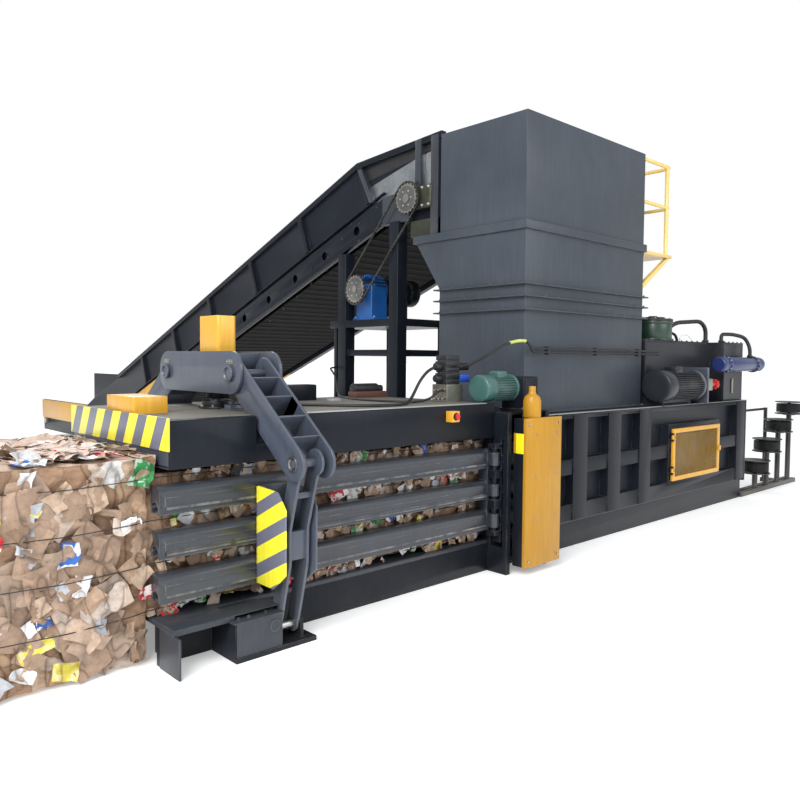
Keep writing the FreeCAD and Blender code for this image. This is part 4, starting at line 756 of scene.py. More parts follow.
def scatter(name, models, faces, count, sizes, tilt, colours):
    # faces: (lowest corner, highest corner, outward direction), one of the three sizes of each being nil
    weights = [max(high[i] - low[i] for i in range(3)) * sorted(high[i] - low[i] for i in range(3))[1]
               for low, high, _ in faces]
    palette = [(colour, printed) for colour, share, printed in colours for _ in range(share)]
    pieces = []
    for _ in range(count):
        low, high, out = random.choices(faces, weights)[0]
        place = Vector([random.uniform(a, b) for a, b in zip(low, high)])
        lean = Vector([random.gauss(0, tilt) for _ in range(3)])
        turn = facing(place, Vector(out) + lean) @ Matrix.Rotation(random.uniform(0, 6.28), 4, "Z")
        size = random.uniform(*sizes)
        scrap = copyOf(random.choice(models), turn @ Matrix.Diagonal((size, size * random.uniform(0.6, 1.3), size, 1)))
        lowest = min(corner.co.z for corner in scrap.data.vertices)
        scrap.data.transform(Matrix.Translation((0, 0, max(0.002 - lowest, 0))))
        colour, printed = random.choice(palette)
        light = random.uniform(0.78, 1.18)
        tinted(scrap, [min(1, channel * light) for channel in colour], printed)
        pieces.append(scrap)
    return joined(name, pieces)


baleLow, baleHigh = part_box("waste_bale")
beamLow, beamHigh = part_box("top_beam")
floorLow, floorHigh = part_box("press_floor")
gateLow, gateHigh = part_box("gate_near")
mouthX = floorLow.x - 0.005
channelTop = beamLow.z
channelHalf = 0.54
paperMaterial = pressedPaper()
scrapMaterial = scrapPaper()
standing = crumpledBlock("baleEnd", (baleLow.x + 0.012, baleLow.y + 0.012, 0.004),
                         (mouthX, baleHigh.y - 0.012, baleHigh.z - 0.012), bale["outCuts"])
inChannel = crumpledBlock("baleInChannel", (mouthX - 0.03, -channelHalf + 0.008, floorHigh.z + 0.012),
                          (baleHigh.x, channelHalf - 0.008, channelTop - 0.016), bale["inCuts"], bale["lengths"])
mouthFold = crumpledBlock("mouthFold", (mouthX - 0.040, -0.545, floorHigh.z + 0.690), (-3.946, 0.545, 1.040), 22)
baleBody = joined("pressedBale", [standing, inChannel, mouthFold])
finished(baleBody, "press", paperMaterial, "waste_bale")

railGaps = [(0.235, 0.305), (0.462, 0.540), (0.681, 0.749), (0.900, 0.955)]
models = scrapModels(bale["scrapSize"], 4, 22, 0.016, 0.022)
def baleFaces(edge, outward):
    x0, x1 = baleLow.x + 0.03 + edge, mouthX - 0.02 - edge
    z0, z1 = 0.05 + edge * 0.7, baleHigh.z - 0.04 - edge
    near, far = baleLow.y + 0.002 - outward, baleHigh.y - 0.002 + outward
    front, top = baleLow.x + 0.002 - outward, baleHigh.z - 0.003 + outward * 0.4
    return [((x0, near, z0), (x1, near, z1), (0, -1, 0)), ((x0, far, z0), (x1, far, z1), (0, 1, 0)),
            ((front, baleLow.y + 0.04 + edge, z0), (front, baleHigh.y - 0.04 - edge, z1), (-1, 0, 0)),
            ((x0, baleLow.y + 0.04 + edge, top), (x1, baleHigh.y - 0.04 - edge, top), (0, 0, 1))]


endFaces = baleFaces(0, 0.014)
sheetFaces = baleFaces(0.13, 0.0)
finished(scatter("baleScraps", models, endFaces, bale["scrapCount"], (0.6, 1.5), 0.16, bale["colours"]), "press", scrapMaterial)
gapFaces = [((mouthX, s * 0.556, low), (beamHigh.x - 0.05, s * 0.556, high), (0, s, 0))
            for low, high in railGaps for s in (-1, 1)]
finished(scatter("channelScraps", models, gapFaces, bale["gapScraps"], (0.35, 0.95), 0.14, bale["colours"]), "press", scrapMaterial)
remove(*models)
models = scrapModels(bale["sheetSize"], 11, 6.5, 0.030, 0.050)
finished(scatter("baleSheets", models, sheetFaces[:3], bale["sheetCount"], (0.55, 1.15), 0.06, bale["kraft"]), "press", scrapMaterial)
finished(scatter("topSheets", models, sheetFaces[3:], bale["topCount"], (0.5, 1.0), 0.03, bale["pale"]), "press", scrapMaterial)
remove(*models)

wirePieces = []
for level in [(low + high) / 2 for low, high in railGaps]:
    sag = 0.006
    points = [(beamHigh.x, -0.551, level)]
    points += [(beamHigh.x - 0.25 * i, -0.553 - sag * math.sin(i * 2.1 + level * 9), level) for i in range(1, 10)]
    points += [(mouthX - 0.02, -0.560, level), (mouthX - 0.10, baleLow.y - 0.020, level - 0.004),
               (mouthX - 0.40, baleLow.y - 0.026, level - 0.012), (baleLow.x + 0.02, baleLow.y - 0.020, level),
               (baleLow.x - 0.020, baleLow.y + 0.02, level), (baleLow.x - 0.024, baleHigh.y - 0.02, level),
               (baleLow.x + 0.02, baleHigh.y + 0.020, level),
               (mouthX - 0.02, 0.560, level), (beamHigh.x, 0.551, level)]
    wirePieces.append(tube("tyingWire", points, bale["wireRadius"], 0.03, 1))
finished(joined("tyingWires", wirePieces), "press", metals["dark"])
print("bale, scraps and wires are made")


# free cords: the deck hose and the motor cable

cordWork = {
    "deckHose": {"node": "deck_hose", "radius": 0.011, "length": 1.793, "points": [
        (-1.715, -0.345, 1.469), (-1.800, -0.345, 1.469), (-1.920, -0.350, 1.390), (-2.020, -0.360, 1.250),
        (-2.150, -0.450, 1.223), (-2.300, -0.535, 1.223), (-2.450, -0.505, 1.223), (-2.570, -0.420, 1.223),
        (-2.690, -0.270, 1.223), (-2.800, -0.140, 1.223), (-2.980, -0.060, 1.223), (-3.090, 0.0, 1.229),
        (-3.1915, 0.0, 1.229)]},
    "deckCable": {"node": "deck_cable", "radius": 0.009, "length": 2.986, "points": [
        (-0.882, 1.950, 1.430), (-0.955, 1.950, 1.430), (-1.035, 1.800, 1.394), (-1.131, 1.618, 1.339),
        (-1.256, 1.451, 1.303), (-1.381, 1.285, 1.273), (-1.506, 1.119, 1.250), (-1.630, 0.953, 1.234),
        (-1.755, 0.786, 1.224), (-1.880, 0.620, 1.221), (-1.985, 0.430, 1.221), (-2.060, 0.230, 1.221),
        (-2.090, 0.020, 1.221), (-2.050, -0.180, 1.221), (-1.965, -0.330, 1.221), (-1.870, -0.385, 1.240),
        (-1.810, -0.388, 1.280), (-1.775, -0.385, 1.300), (-1.730, -0.385, 1.300)]},
}


def freeCord(name, work):
    curve = bpy.data.curves.new(name, "CURVE")
    curve.dimensions = "3D"
    curve.bevel_depth = work["radius"]
    curve.bevel_resolution = 4
    curve.resolution_u = 12
    curve.use_fill_caps = True
    spline = curve.splines.new("NURBS")
    spline.points.add(len(work["points"]) - 1)
    for point, place in zip(spline.points, work["points"]):
        point.co = (*place, 1)
    spline.order_u = 3
    spline.use_endpoint_u = True
    piece = bpy.data.objects.new(name, curve)
    bpy.context.scene.collection.objects.link(piece)
    finished(piece, "press", plastics["hose"], work["node"])
    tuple(work["points"][0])


for name, work in cordWork.items():
    freeCord(name, work)
print("cords are laid")


# side gates: hollow rails, striped thrust bracket and hinge post, made for the near side and mirrored

gate = {"start": -3.985, "end": -1.488, "inner": 0.558, "outer": 0.650, "round": 0.040,
        "rails": [(0.314, 0.457), (0.536, 0.667), (0.752, 0.893)], "bracket": (-3.442, -3.236), "reach": 0.919}


def gateRail(low, high):
    rail = cube("rail", (gate["start"], -gate["outer"], low), (gate["end"], -gate["inner"], high))
    arch = (-gate["outer"] + 0.046, low + 0.026)
    cutBy(rail, rod("hollow", "X", gate["start"] - 0.1, gate["start"] + 0.060, arch, 0.034))
    cutBy(rail, cube("slot", (gate["start"] - 0.1, arch[0] - 0.034, low - 0.01),
                     (gate["start"] + 0.060, arch[0] + 0.034, low + 0.026)))
    pickEdges(rail, lambda a, b: abs(a.x - b.x) > 1 and a.y < -0.6 and a.z > (low + high) / 2)
    bpy.ops.mesh.bevel(offset=gate["round"], segments=5)
    leaveEdit()
    pickFaces(rail, lambda centre, normal: normal.y < -0.9)
    bpy.ops.mesh.inset(thickness=0.012, depth=-0.005)
    bpy.ops.mesh.inset(thickness=0.020, depth=0)
    bpy.ops.mesh.inset(thickness=0.004, depth=0.006)
    leaveEdit()
    notch = rod("notch", "X", gate["start"] - 0.002, gate["start"] + 0.010, arch, 0.0405)
    cutBy(notch, rod("inside", "X", gate["start"] - 0.1, gate["start"] + 0.1, arch, 0.034))
    trimmed(notch, (0, 0, low + 0.004), (0, 0, -1))
    return smooth(joined("gateRail", [rounded(rail, 0.0025), rounded(notch, 0.001, 1)]))


def cutBy(piece, tool, operation="DIFFERENCE"):
    onlyThis(piece)
    cutting = piece.modifiers.new("cut", "BOOLEAN")
    cutting.operation = operation
    cutting.object = tool
    cutting.solver = "EXACT"
    bpy.ops.object.modifier_apply(modifier=cutting.name)
    remove(tool)
    return piece


def trimmed(piece, place, outward):
    onlyThis(piece)
    bpy.ops.object.mode_set(mode="EDIT")
    bpy.ops.mesh.select_all(action="SELECT")
    bpy.ops.mesh.bisect(plane_co=place, plane_no=outward, clear_outer=True, use_fill=True)
    leaveEdit()
    return piece


def bracketPlate(x0, x1):
    reach, edge = -gate["reach"], -gate["outer"]
    plate = cube("bracketPlate", (x0, reach, 0.318), (x1, edge, 0.842))
    trimmed(plate, (x0, reach, 0.746), (0, -0.096, 0.082))
    trimmed(plate, (x0, reach, 0.410), (0, -0.084, -0.099))
    trimmed(plate, (x0, edge, 0.842), (0, -0.01, 0.187))
    return rounded(plate, 0.003)


def gatePieces():
    x0, x1 = gate["bracket"]
    edge = -gate["outer"]
    rails = [gateRail(low, high) for low, high in gate["rails"]]
    post = cube("hingePost", (gate["end"] - 0.060, edge, 0.314), (gate["end"], edge + 0.088, 0.893))
    back = cube("bracketBack", (x0, edge - 0.015, 0.318), (x1, edge, 0.842))
    thrust = cube("thrustBlock", (x0 + 0.012, -0.735, 0.640), (x1 - 0.012, edge - 0.01, 0.700))
    knuckles = []
    for low, high in gate["rails"]:
        barrel = rod("barrel", "Z", low + 0.025, high - 0.025, (-1.520, -0.690), 0.036, 28)
        insetFaces(barrel, lambda centre, normal: abs(normal.z) > 0.9, 0.006, 0.003)
        leaf = cube("leaf", (-1.546, -0.690, low + 0.025), (-1.494, edge + 0.001, high - 0.025))
        knuckles += [rounded(barrel, 0.003), rounded(leaf, 0.004)]
    frame = joined("gateFrame", rails + [rounded(post, 0.004), rounded(back, 0.003), rounded(thrust, 0.005)] + knuckles)
    return smooth(frame), smooth(bracketPlate(x0, x0 + 0.012)), smooth(bracketPlate(x1 - 0.012, x1))


nearPieces = gatePieces()
mirrored = Matrix.Diagonal((1, -1, 1, 1))
farPieces = [copyOf(piece, mirrored) for piece in nearPieces]
for side, pieces in (("near", nearPieces), ("far", farPieces)):
    body = "gate_" + side
    finished(pieces[0], body, paints["rail"], body).name = side + "GateFrame"
    finished(pieces[1], body, hazardSide).name = side + "StripedPlate"
    finished(pieces[2], body, paints["clamp"]).name = side + "BackPlate"
print("gates are made")


# beam end plate, deck strip and deck sheet of the channel

beamTrim = {"endPlate": ((-3.931, -0.636, 0.970), (-3.923, 0.636, 1.062)), "webPlates": (-0.42, 0.0, 0.42),
            "deckStrip": ((-3.20, -0.648, 1.212), (-1.56, -0.600, 1.2165))}
endPlate = cube("beamEndPlate", *beamTrim["endPlate"])
insetFaces(endPlate, lambda centre, normal: normal.x < -0.9, 0.010, -0.002)
finished(smooth(rounded(endPlate, 0.0015)), "press", paints["clamp"])
strip = cube("deckStrip", *beamTrim["deckStrip"])
insetFaces(strip, lambda centre, normal: normal.z > 0.9, 0.008, 0.001)
finished(smooth(rounded(strip, 0.001)), "press", paints["edge"])
deckSheet = cube("deckSheet", (-3.915, -0.597, 1.212), (-1.56, 0.640, 1.2145))
pickFaces(deckSheet, lambda centre, normal: normal.z > 0.9)
bpy.ops.mesh.subdivide(number_cuts=3)
leaveEdit()
insetFaces(deckSheet, lambda centre, normal: normal.z > 0.9, 0.004, 0.0005, True)
cutBy(deckSheet, joined("pockets", [cube("pocket", (-3.435, s * 0.54, 1.1), (-3.197, s * 0.70, 1.3)) for s in (-1, 1)]))
finished(smooth(rounded(deckSheet, 0.0008, 1)), "press", paints["deck"])
print("beam trim is made")


# crosshead: pin rings, lock plates and their bolts, gland with its bolts, and guide block

head = {"pins": [(-0.385, 1.432), (0.385, 1.432)], "front": -3.458, "gland": ((0.115, 1.212, 1.229), (0.092, 1.224, 1.262)),
        "cup": (0.0755, 1.2315),
        "ram": (-3.306, 0.0)}
rings = []
for across in head["pins"]:
    ring = rod("pinRing", "X", head["front"] - 0.006, head["front"] + 0.004, across, 0.046, 40)
    insetFaces(ring, lambda centre, normal: normal.x < -0.9, 0.010, 0.003)
    insetFaces(ring, lambda centre, normal: normal.x < -0.9 and (centre - Vector((centre.x, *across))).length < 0.001,
               0.008, -0.012)
    rings.append(rounded(ring, 0.0012, 1))
finished(smooth(joined("crossheadPinRings", rings)), "clamp_head", paints["clamp"])
locks = []
for y, z in head["pins"]:
    lock = cube("lockPlate", (-3.449, y - 0.030, z + 0.052), (-3.441, y + 0.030, z + 0.080))
    pickFaces(lock, lambda centre, normal: normal.x < -0.9)
    bpy.ops.mesh.inset(thickness=0.004, depth=0.001)
    leaveEdit()
    locks.append(rounded(lock, 0.002))
finished(smooth(joined("lockPlates", locks)), "clamp_head", metals["cast"])
bolted("lockBolts", "clamp_head", [(-3.449, y + side, z + 0.066) for y, z in head["pins"] for side in (-0.017, 0.017)],
       (-1, 0, 0), 0.006)
glandParts = []
for radius, low, high in head["gland"]:
    collar = rod("collar", "Z", low, high, head["ram"], radius, 48)
    if radius > 0.1:
        insetFaces(collar, lambda centre, normal: normal.z > 0.9, 0.010, 0.001)
    else:
        # the cylinder's gland sinks into this cup when the crosshead comes down
        cutBy(collar, rod("cup", "Z", head["cup"][1], high + 0.01, head["ram"], head["cup"][0], 48))
    glandParts.append(rounded(collar, 0.002))
finished(smooth(joined("ramGland", glandParts)), "press", metals["dark"])
bolted("glandBolts", "press", [(head["ram"][0] + 0.1035 * math.cos(a), 0.1035 * math.sin(a), 1.2295)
                               for a in [i * math.pi / 4 for i in range(8)]], (0, 0, 1), 0.008)
bracket = cube("guideBracket", (-3.360, -0.235, 1.212), (-3.250, -0.135, 1.222))
pickFaces(bracket, lambda centre, normal: normal.z > 0.9)
bpy.ops.mesh.inset(thickness=0.012)
bpy.ops.mesh.extrude_region_move(TRANSFORM_OT_translate={"value": (0, 0, 0.024)})
bpy.ops.mesh.inset(thickness=0.018)
bpy.ops.mesh.extrude_region_move(TRANSFORM_OT_translate={"value": (0, 0, 0.022)})
leaveEdit()
finished(smooth(rounded(bracket, 0.003)), "press", paints["clamp"])
print("crosshead details are made")


# arm eyes: pin heads with a dark centre

eyes = {"arm": (0.955, 0.985), "foot": (0.755, 0.092), "face": -3.4215}
for s, side in ((-1, "near"), (1, "far")):
    parts = []
    for across, radius, face, body in (((s * 0.955, 0.985), 0.040, -3.4205, "lever_"), ((s * 0.755, 0.092), 0.034, -3.420, "lever_")):
        cap = rod("pinCap", "X", face - 0.006, face + 0.010, across, radius, 36)
        insetFaces(cap, lambda centre, normal: normal.x < -0.9, 0.007, 0.002)
        insetFaces(cap, lambda centre, normal: normal.x < -0.9 and (Vector((centre.y, centre.z)) - Vector(across)).length < 0.001,
                   0.010, -0.010)
        parts.append(rounded(cap, 0.001, 1))
    finished(smooth(joined(side + "EyePins", parts)), "lever_" + side, metals["worn"])
print("arm pins are made")


# lever foot: cladding of the anchor bracket on both sides

footing = {"box": ((-3.675, -0.846, 0.022), (-3.405, -0.700, 0.196)), "top": ((-3.690, -0.848, 0.196), (-3.395, -0.690, 0.2035)),
           "flange": ((-3.984, -0.799, 0.225), (-3.380, -0.655, 0.2285)), "end": ((-3.984, -0.849, 0.002), (-3.972, -0.640, 0.199)),
           "pin": (-3.450, 0.140)}
claddings = []
core = cube("footBox", *footing["box"])
insetFaces(core, lambda centre, normal: normal.x < -0.9, 0.016, -0.006)
insetFaces(core, lambda centre, normal: normal.y < -0.9, 0.016, -0.005)
claddings += [rounded(core, 0.003), rounded(cube("footTop", *footing["top"]), 0.003),
              rounded(cube("footFlange", *footing["flange"]), 0.001), rounded(cube("footEnd", *footing["end"]), 0.003)]
ring = rod("footPinRing", "Y", -0.8490, -0.8400, footing["pin"], 0.030, 32)
insetFaces(ring, lambda centre, normal: normal.y < -0.9, 0.008, -0.004)
claddings.append(rounded(ring, 0.001, 1))
nearFoot = smooth(joined("nearFootCladding", claddings))
farFoot = copyOf(nearFoot, mirrored)
farFoot.name = "farFootCladding"
# the claddings take the darkened slate, painted shade for the bale's shadow
for piece in (nearFoot, farFoot):
    finished(piece, "press", paints["shadedClampFoot"])
bolted("footBolts", "press", [(x, s * 0.80, 0.2035) for x in (-3.64, -3.58, -3.48) for s in (-1, 1)], (0, 0, 1), 0.008,
       paints["shadedClampFoot"])
print("lever feet are made")


# motors: ribbed bodies, end bells, cowls with inset ends and terminal boxes

def ribbedMotor(name, axisLine, start, end, radius, ribs, cowl):
    # modelled along X; cowl tells at which end the fan sits: -1 or 1
    fanLength = cowl["length"]
    fanStart = start if cowl["end"] < 0 else end - fanLength
    bodyStart = start + fanLength if cowl["end"] < 0 else start
    bodyEnd = bodyStart + (end - start - fanLength)
    body = rod("motorBody", "X", bodyStart, bodyEnd, axisLine, radius * 0.86, 48)
    rib = cube("rib", (bodyStart + 0.018, -0.0028, radius * 0.84), (bodyEnd - 0.018, 0.0028, radius * 1.0))
    rounded(rib, 0.001, 1)
    ring = [Matrix.Translation((0, *axisLine)) @ Matrix.Rotation(2 * math.pi * i / ribs, 4, "X") for i in range(ribs)]
    parts = [rounded(body, 0.004), copies("ribs", rib, ring)]
    for x in (bodyStart, bodyEnd):
        bell = rod("bell", "X", x - 0.012, x + 0.012, axisLine, radius * 1.02, 48)
        insetFaces(bell, lambda centre, normal: abs(normal.x) > 0.9, radius * 0.14, 0.004)
        parts.append(rounded(bell, 0.003))
    fan = rod("fanCowl", "X", fanStart, fanStart + fanLength, axisLine, radius * 1.05, 48)
    outward = cowl["end"]
    insetFaces(fan, lambda centre, normal: normal.x * outward > 0.9, radius * 0.10, 0.006)
    insetFaces(fan, lambda centre, normal: normal.x * outward > 0.9 and abs(centre.x - (fanStart if outward < 0 else
               fanStart + fanLength)) < 0.02 and (Vector((centre.y, centre.z)) - Vector(axisLine)).length < 0.001,
               radius * 0.30, 0.002)
    parts.append(rounded(fan, 0.006))
    return parts


def terminalBox(low, high):
    box = cube("terminalBox", low, high)
    insetFaces(box, lambda centre, normal: normal.z > 0.9, 0.008, 0.010)
    return rounded(box, 0.004)


twister = {"axis": (-0.565, 1.315), "start": -1.552, "end": -1.202, "radius": 0.094, "ribs": 30,
           "cowl": {"length": 0.092, "end": -1}, "box": ((-1.392, -0.610, 1.385), (-1.292, -0.520, 1.430)),
           "gear": ((-1.202, -0.705, 1.150), (-1.038, -0.485, 1.400))}
parts = ribbedMotor("twister", twister["axis"], twister["start"], twister["end"], twister["radius"], twister["ribs"],
                    twister["cowl"])
flange = rod("flange", "X", -1.224, -1.202, twister["axis"], 0.100, 48)
parts += [terminalBox(*twister["box"]), rounded(flange, 0.004)]
finished(smooth(joined("twisterMotorBody", parts)), "press", paints["teal"], "twister_motor")
gearCase = cube("gearCase", *twister["gear"])
insetFaces(gearCase, lambda centre, normal: normal.x < -0.9, 0.020, 0.006)
insetFaces(gearCase, lambda centre, normal: normal.y < -0.9, 0.020, -0.005)
rounded(gearCase, 0.012, 3)
cutBy(gearCase, rod("bore", "Z", 1.0, 1.215, (-1.120, -0.645), 0.037, 32))
footPlate = cube("gearFoot", (-1.215, -0.700, 1.150), (-1.030, -0.480, 1.162))
finished(smooth(joined("gearCase", [gearCase, cutBy(rounded(footPlate, 0.003), rod("bore", "Z", 1.0, 1.3, (-1.120, -0.645), 0.037, 32))])),
         "press", paints["frame"])
bolted("gearBolts", "press", [(x, y, 1.162) for x in (-1.208, -1.036) for y in (-0.69, -0.49)], (0, 0, 1), 0.008)

driveMotor = {"axis": (1.563, 2.199), "start": -0.620, "end": -0.180, "radius": 0.130, "ribs": 34,
              "cowl": {"length": 0.110, "end": 1}, "box": ((-0.500, 1.503, 2.290), (-0.390, 1.623, 2.348)),
              "feet": ((-0.560, 1.453, 1.900), (-0.340, 1.673, 2.105))}
parts = ribbedMotor("drive", driveMotor["axis"], driveMotor["start"], driveMotor["end"], driveMotor["radius"],
                    driveMotor["ribs"], driveMotor["cowl"])
feet = cube("motorFeet", *driveMotor["feet"])
insetFaces(feet, lambda centre, normal: abs(normal.x) > 0.9, 0.02, -0.03)
parts += [terminalBox(*driveMotor["box"]), rounded(feet, 0.004)]
finished(smooth(joined("conveyorMotorBody", parts)), "press", paints["frame"], "conveyor_motor")

reducer = {"case": ((-0.835, 1.443, 1.925), (-0.625, 1.683, 2.255)), "foot": ((-0.840, 1.403, 1.900), (-0.620, 1.723, 1.928)),
           "axis": (1.563, 2.215)}
case = cube("reducerCase", *reducer["case"])
insetFaces(case, lambda centre, normal: abs(normal.x) > 0.9, 0.022, -0.008)
insetFaces(case, lambda centre, normal: abs(normal.y) > 0.9, 0.024, -0.006)
drum = rod("reducerDrum", "X", -0.833, -0.627, reducer["axis"], 0.130, 48)
hub = rod("reducerHub", "X", -0.868, -0.833, (1.563, 2.199), 0.070, 40)
fin = cube("fin", (-0.80, -0.004, 0.120), (-0.66, 0.004, 0.140))
fins = copies("fins", rounded(fin, 0.001, 1), [Matrix.Translation((0, *reducer["axis"])) @ Matrix.Rotation(math.radians(a), 4, "X")
                                             for a in range(-75, 90, 15)])
parts = [rounded(case, 0.014, 3), rounded(drum, 0.010, 3), rounded(hub, 0.006), fins,
         rounded(cube("reducerFoot", *reducer["foot"]), 0.004)]
shaftHole = rod("shaftHole", "X", -0.95, -0.778, (1.563, 2.199), 0.0305, 32)
finished(smooth(cutBy(joined("reducerBody", parts), shaftHole)), "press", paints["blue"],
         "gear_reducer")
bolted("reducerBolts", "press", [(x, y, 1.928) for x in (-0.82, -0.64) for y in (1.42, 1.706)], (0, 0, 1), 0.010)
print("motors are made")


# conveyor head: end posts, shiny liner, a black sheet painted as the shadow under the top rail, channel end, bearing
# and chute

headWork = {"face": -0.838, "out": -0.896}


def wallPlate(name, corners, x0, x1):
    # corners are (y, z) in order; the cube is cut down to them one edge at a time
    low = [min(corner[i] for corner in corners) for i in (0, 1)]
    high = [max(corner[i] for corner in corners) for i in (0, 1)]
    plate = cube(name, (x0, *low), (x1, *high))
    middle = Vector([sum(corner[i] for corner in corners) / len(corners) for i in (0, 1)])
    for a, b in zip(corners, corners[1:] + corners[:1]):
        a, b = Vector(a), Vector(b)
        side = Vector((b.y - a.y, a.x - b.x))
        if side.dot(middle - a) > 0:
            side = -side
        onEdge = any(abs(a[i] - b[i]) < 1e-4 and min(abs(a[i] - low[i]), abs(a[i] - high[i])) < 1e-4 for i in (0, 1))
        if not onEdge:
            trimmed(plate, (0, *a), (0, *side.normalized()))
    return plate


face, out = headWork["face"], headWork["out"]
liner = wallPlate("headLiner", [(1.50, 3.17), (0.80, 3.34), (0.52, 3.38), (0.52, 3.02), (1.37, 3.02)], face - 0.004, face)
insetFaces(liner, lambda centre, normal: normal.x < -0.9, 0.012, 0.002)
finished(smooth(rounded(liner, 0.001, 1)), "press", metals["liner"])
# a thin black sheet over the top of the liner: painted shadow where the top rail shades the wall
shadowSheet = wallPlate("headShadowSheet", [(1.545, 3.355), (0.80, 3.445), (0.52, 3.445), (0.52, 3.38), (0.80, 3.34), (1.50, 3.17)],
                   face - 0.003, face)
finished(smooth(rounded(shadowSheet, 0.001, 1)), "press", plastics["black"])
posts = [rounded(cube("endPost", (out, 0.715, 3.03), (face, 0.790, 3.478)), 0.004),
         rounded(cube("cornerPost", (out - 0.001, 0.500, 2.62), (face, 0.590, 3.478)), 0.004),
         rounded(wallPlate("leaningPost", [(1.545, 3.36), (1.605, 3.36), (1.425, 3.02), (1.365, 3.02)], out + 0.006, face), 0.004)]
finished(smooth(joined("headPosts", posts)), "press", paints["rail"])
channel = cube("channelEnd", (out - 0.001, 0.865, 2.775), (face + 0.002, 1.245, 3.030))
insetFaces(channel, lambda centre, normal: normal.x < -0.9, 0.014, -0.004)
lip = cube("channelLip", (out - 0.001, 0.865, 3.030), (face + 0.002, 1.245, 3.042))
finished(smooth(joined("channelEnd", [rounded(channel, 0.003), rounded(lip, 0.002)])), "press", paints["rail"])
chute = cube("chuteBox", (out + 0.010, 0.500, 2.615), (face, 0.850, 2.765))
insetFaces(chute, lambda centre, normal: normal.x < -0.9, 0.012, -0.006)
bearing = cube("bearingFoot", (out - 0.006, 0.575, 2.860), (face, 0.840, 3.065))
insetFaces(bearing, lambda centre, normal: normal.x < -0.9, 0.025, 0.012)
bore = rod("bearingBore", "X", -1.0, -0.8, (0.846, 2.964), 0.036, 32)
finished(smooth(cutBy(joined("headBearing", [rounded(chute, 0.003), rounded(bearing, 0.008)]), bore)), "press",
         metals["greasy"])
bolted("bearingBolts", "press", [(out - 0.016, y, z) for y in (0.60, 0.68) for z in (2.885, 3.04)], (-1, 0, 0), 0.010)
conveyorBolts = [(-0.899, y, 3.020 - 0.468 * (y - 1.23) - low) for y in [1.30 + 0.26 * i for i in range(15)]
                 for low in (0.030, 0.195)]
bolted("bandBolts", "press", conveyorBolts, (-1, 0, 0), 0.007, paints["frame"])
print("conveyor head is made")


# drive chain: rollers and side plates round both sprockets

chain = {"x": -0.938, "head": (0.846, 2.964), "drive": (1.563, 2.199), "radius": 0.1485, "pitch": 0.0381}


def chainPath():
    head, drive = Vector(chain["head"]), Vector(chain["drive"])
    run = (drive - head).normalized()
    side = Vector((-run.y, run.x)) * chain["radius"]
    corners = [(head + side, drive + side, drive), (drive - side, head - side, head)]
    points = []
    for start, end, centre in corners:
        count = round((end - start).length / chain["pitch"])
        points += [start.lerp(end, i / count) for i in range(count)]
        turns = round(math.pi * chain["radius"] / chain["pitch"])
        first = math.atan2(end.y - centre.y, end.x - centre.x)
        points += [centre + chain["radius"] * Vector((math.cos(first - math.pi * i / turns), math.sin(first - math.pi * i / turns)))
                   for i in range(turns)]
    return points


points = chainPath()
link = cube("link", (-0.0075, -0.006, -0.008), (-0.0050, chain["pitch"] + 0.006, 0.008))
rounded(link, 0.004, 2)
roller = rod("roller", "X", -0.0095, 0.0095, (0, 0), 0.0060, 10)
twin = copyOf(link, Matrix.Translation((0.0125, 0, 0)))
linkModel = joined("linkModel", [link, twin, roller])
turns = []
for a, b in zip(points, points[1:] + points[:1]):
    angle = math.atan2(b.y - a.y, b.x - a.x)
    shift = 0.002 if len(turns) % 2 else 0.0
    turns.append(Matrix.Translation((chain["x"], a.x, a.y)) @ Matrix.Rotation(angle, 4, "X")
                 @ Matrix.Diagonal((1.0 + shift * 100, 1, 1, 1)))
finished(smooth(copies("chainLinks", linkModel, turns)), "press", metals["chain"], "drive_chain")
for name, body, centre in (("head", "head_drum", chain["head"]), ("drive", "drive_wheel", chain["drive"])):
    disc = rod("sprocketDisc", "X", -0.9525, -0.947, centre, 0.112, 48)
    insetFaces(disc, lambda centre, normal: normal.x < -0.9, 0.012, 0.0015)
    hub = rod("sprocketHub", "X", -0.959, -0.950, centre, 0.044, 32)
    insetFaces(hub, lambda centre, normal: normal.x < -0.9, 0.010, -0.002)
    finished(smooth(joined(name + "SprocketDisc", [rounded(disc, 0.001, 1), rounded(hub, 0.0015)])), body, metals["worn"])
    bolted(name + "HubBolts", body, [(-0.9535, centre[0] + 0.070 * math.cos(a), centre[1] + 0.070 * math.sin(a))
                                   for a in [i * math.pi / 3 for i in range(6)]], (-1, 0, 0), 0.006)
print("chain and sprocket faces are made")


# slatted belt: one slat copied along the loop, with a flight on every sixth

belt = {"half": 0.738, "pitch": 0.120, "thick": 0.024, "radius": 0.148, "flight": 0.045, "every": 6,
        "corners": [(0.846, 2.964), (1.230, 2.975), (8.390, 0.300), (10.900, 0.300)]}


def beltPath():
    # the loop's centre line on the upper side, round the tail, and back along the lower side
    radius = belt["radius"] - belt["thick"] / 2
    centres = [Vector(corner) for corner in belt["corners"]]
    line = []
    for s, run in ((1, list(zip(centres, centres[1:]))), (-1, [(b, a) for a, b in reversed(list(zip(centres, centres[1:])))])):
        for a, b in run:
            side = Vector((-(b - a).y, (b - a).x)).normalized() * radius
            line += [a + side, b + side]
        end = run[-1][1]
        direction = (run[-1][1] - run[-1][0]).normalized()
        first = math.atan2(direction.x, -direction.y)
        for i in range(1, 12):
            turn = first - math.pi * i / 12
            line.append(end + radius * Vector((math.cos(turn), math.sin(turn))))
    return line


def spacedAlong(line, pitch):
    places = []
    left = 0.0
    for a, b in zip(line, line[1:] + line[:1]):
        long = (b - a).length
        while left < long:
            places.append((a.lerp(b, left / long), math.atan2(b.y - a.y, b.x - a.x)))
            left += pitch
        left -= long
    return places


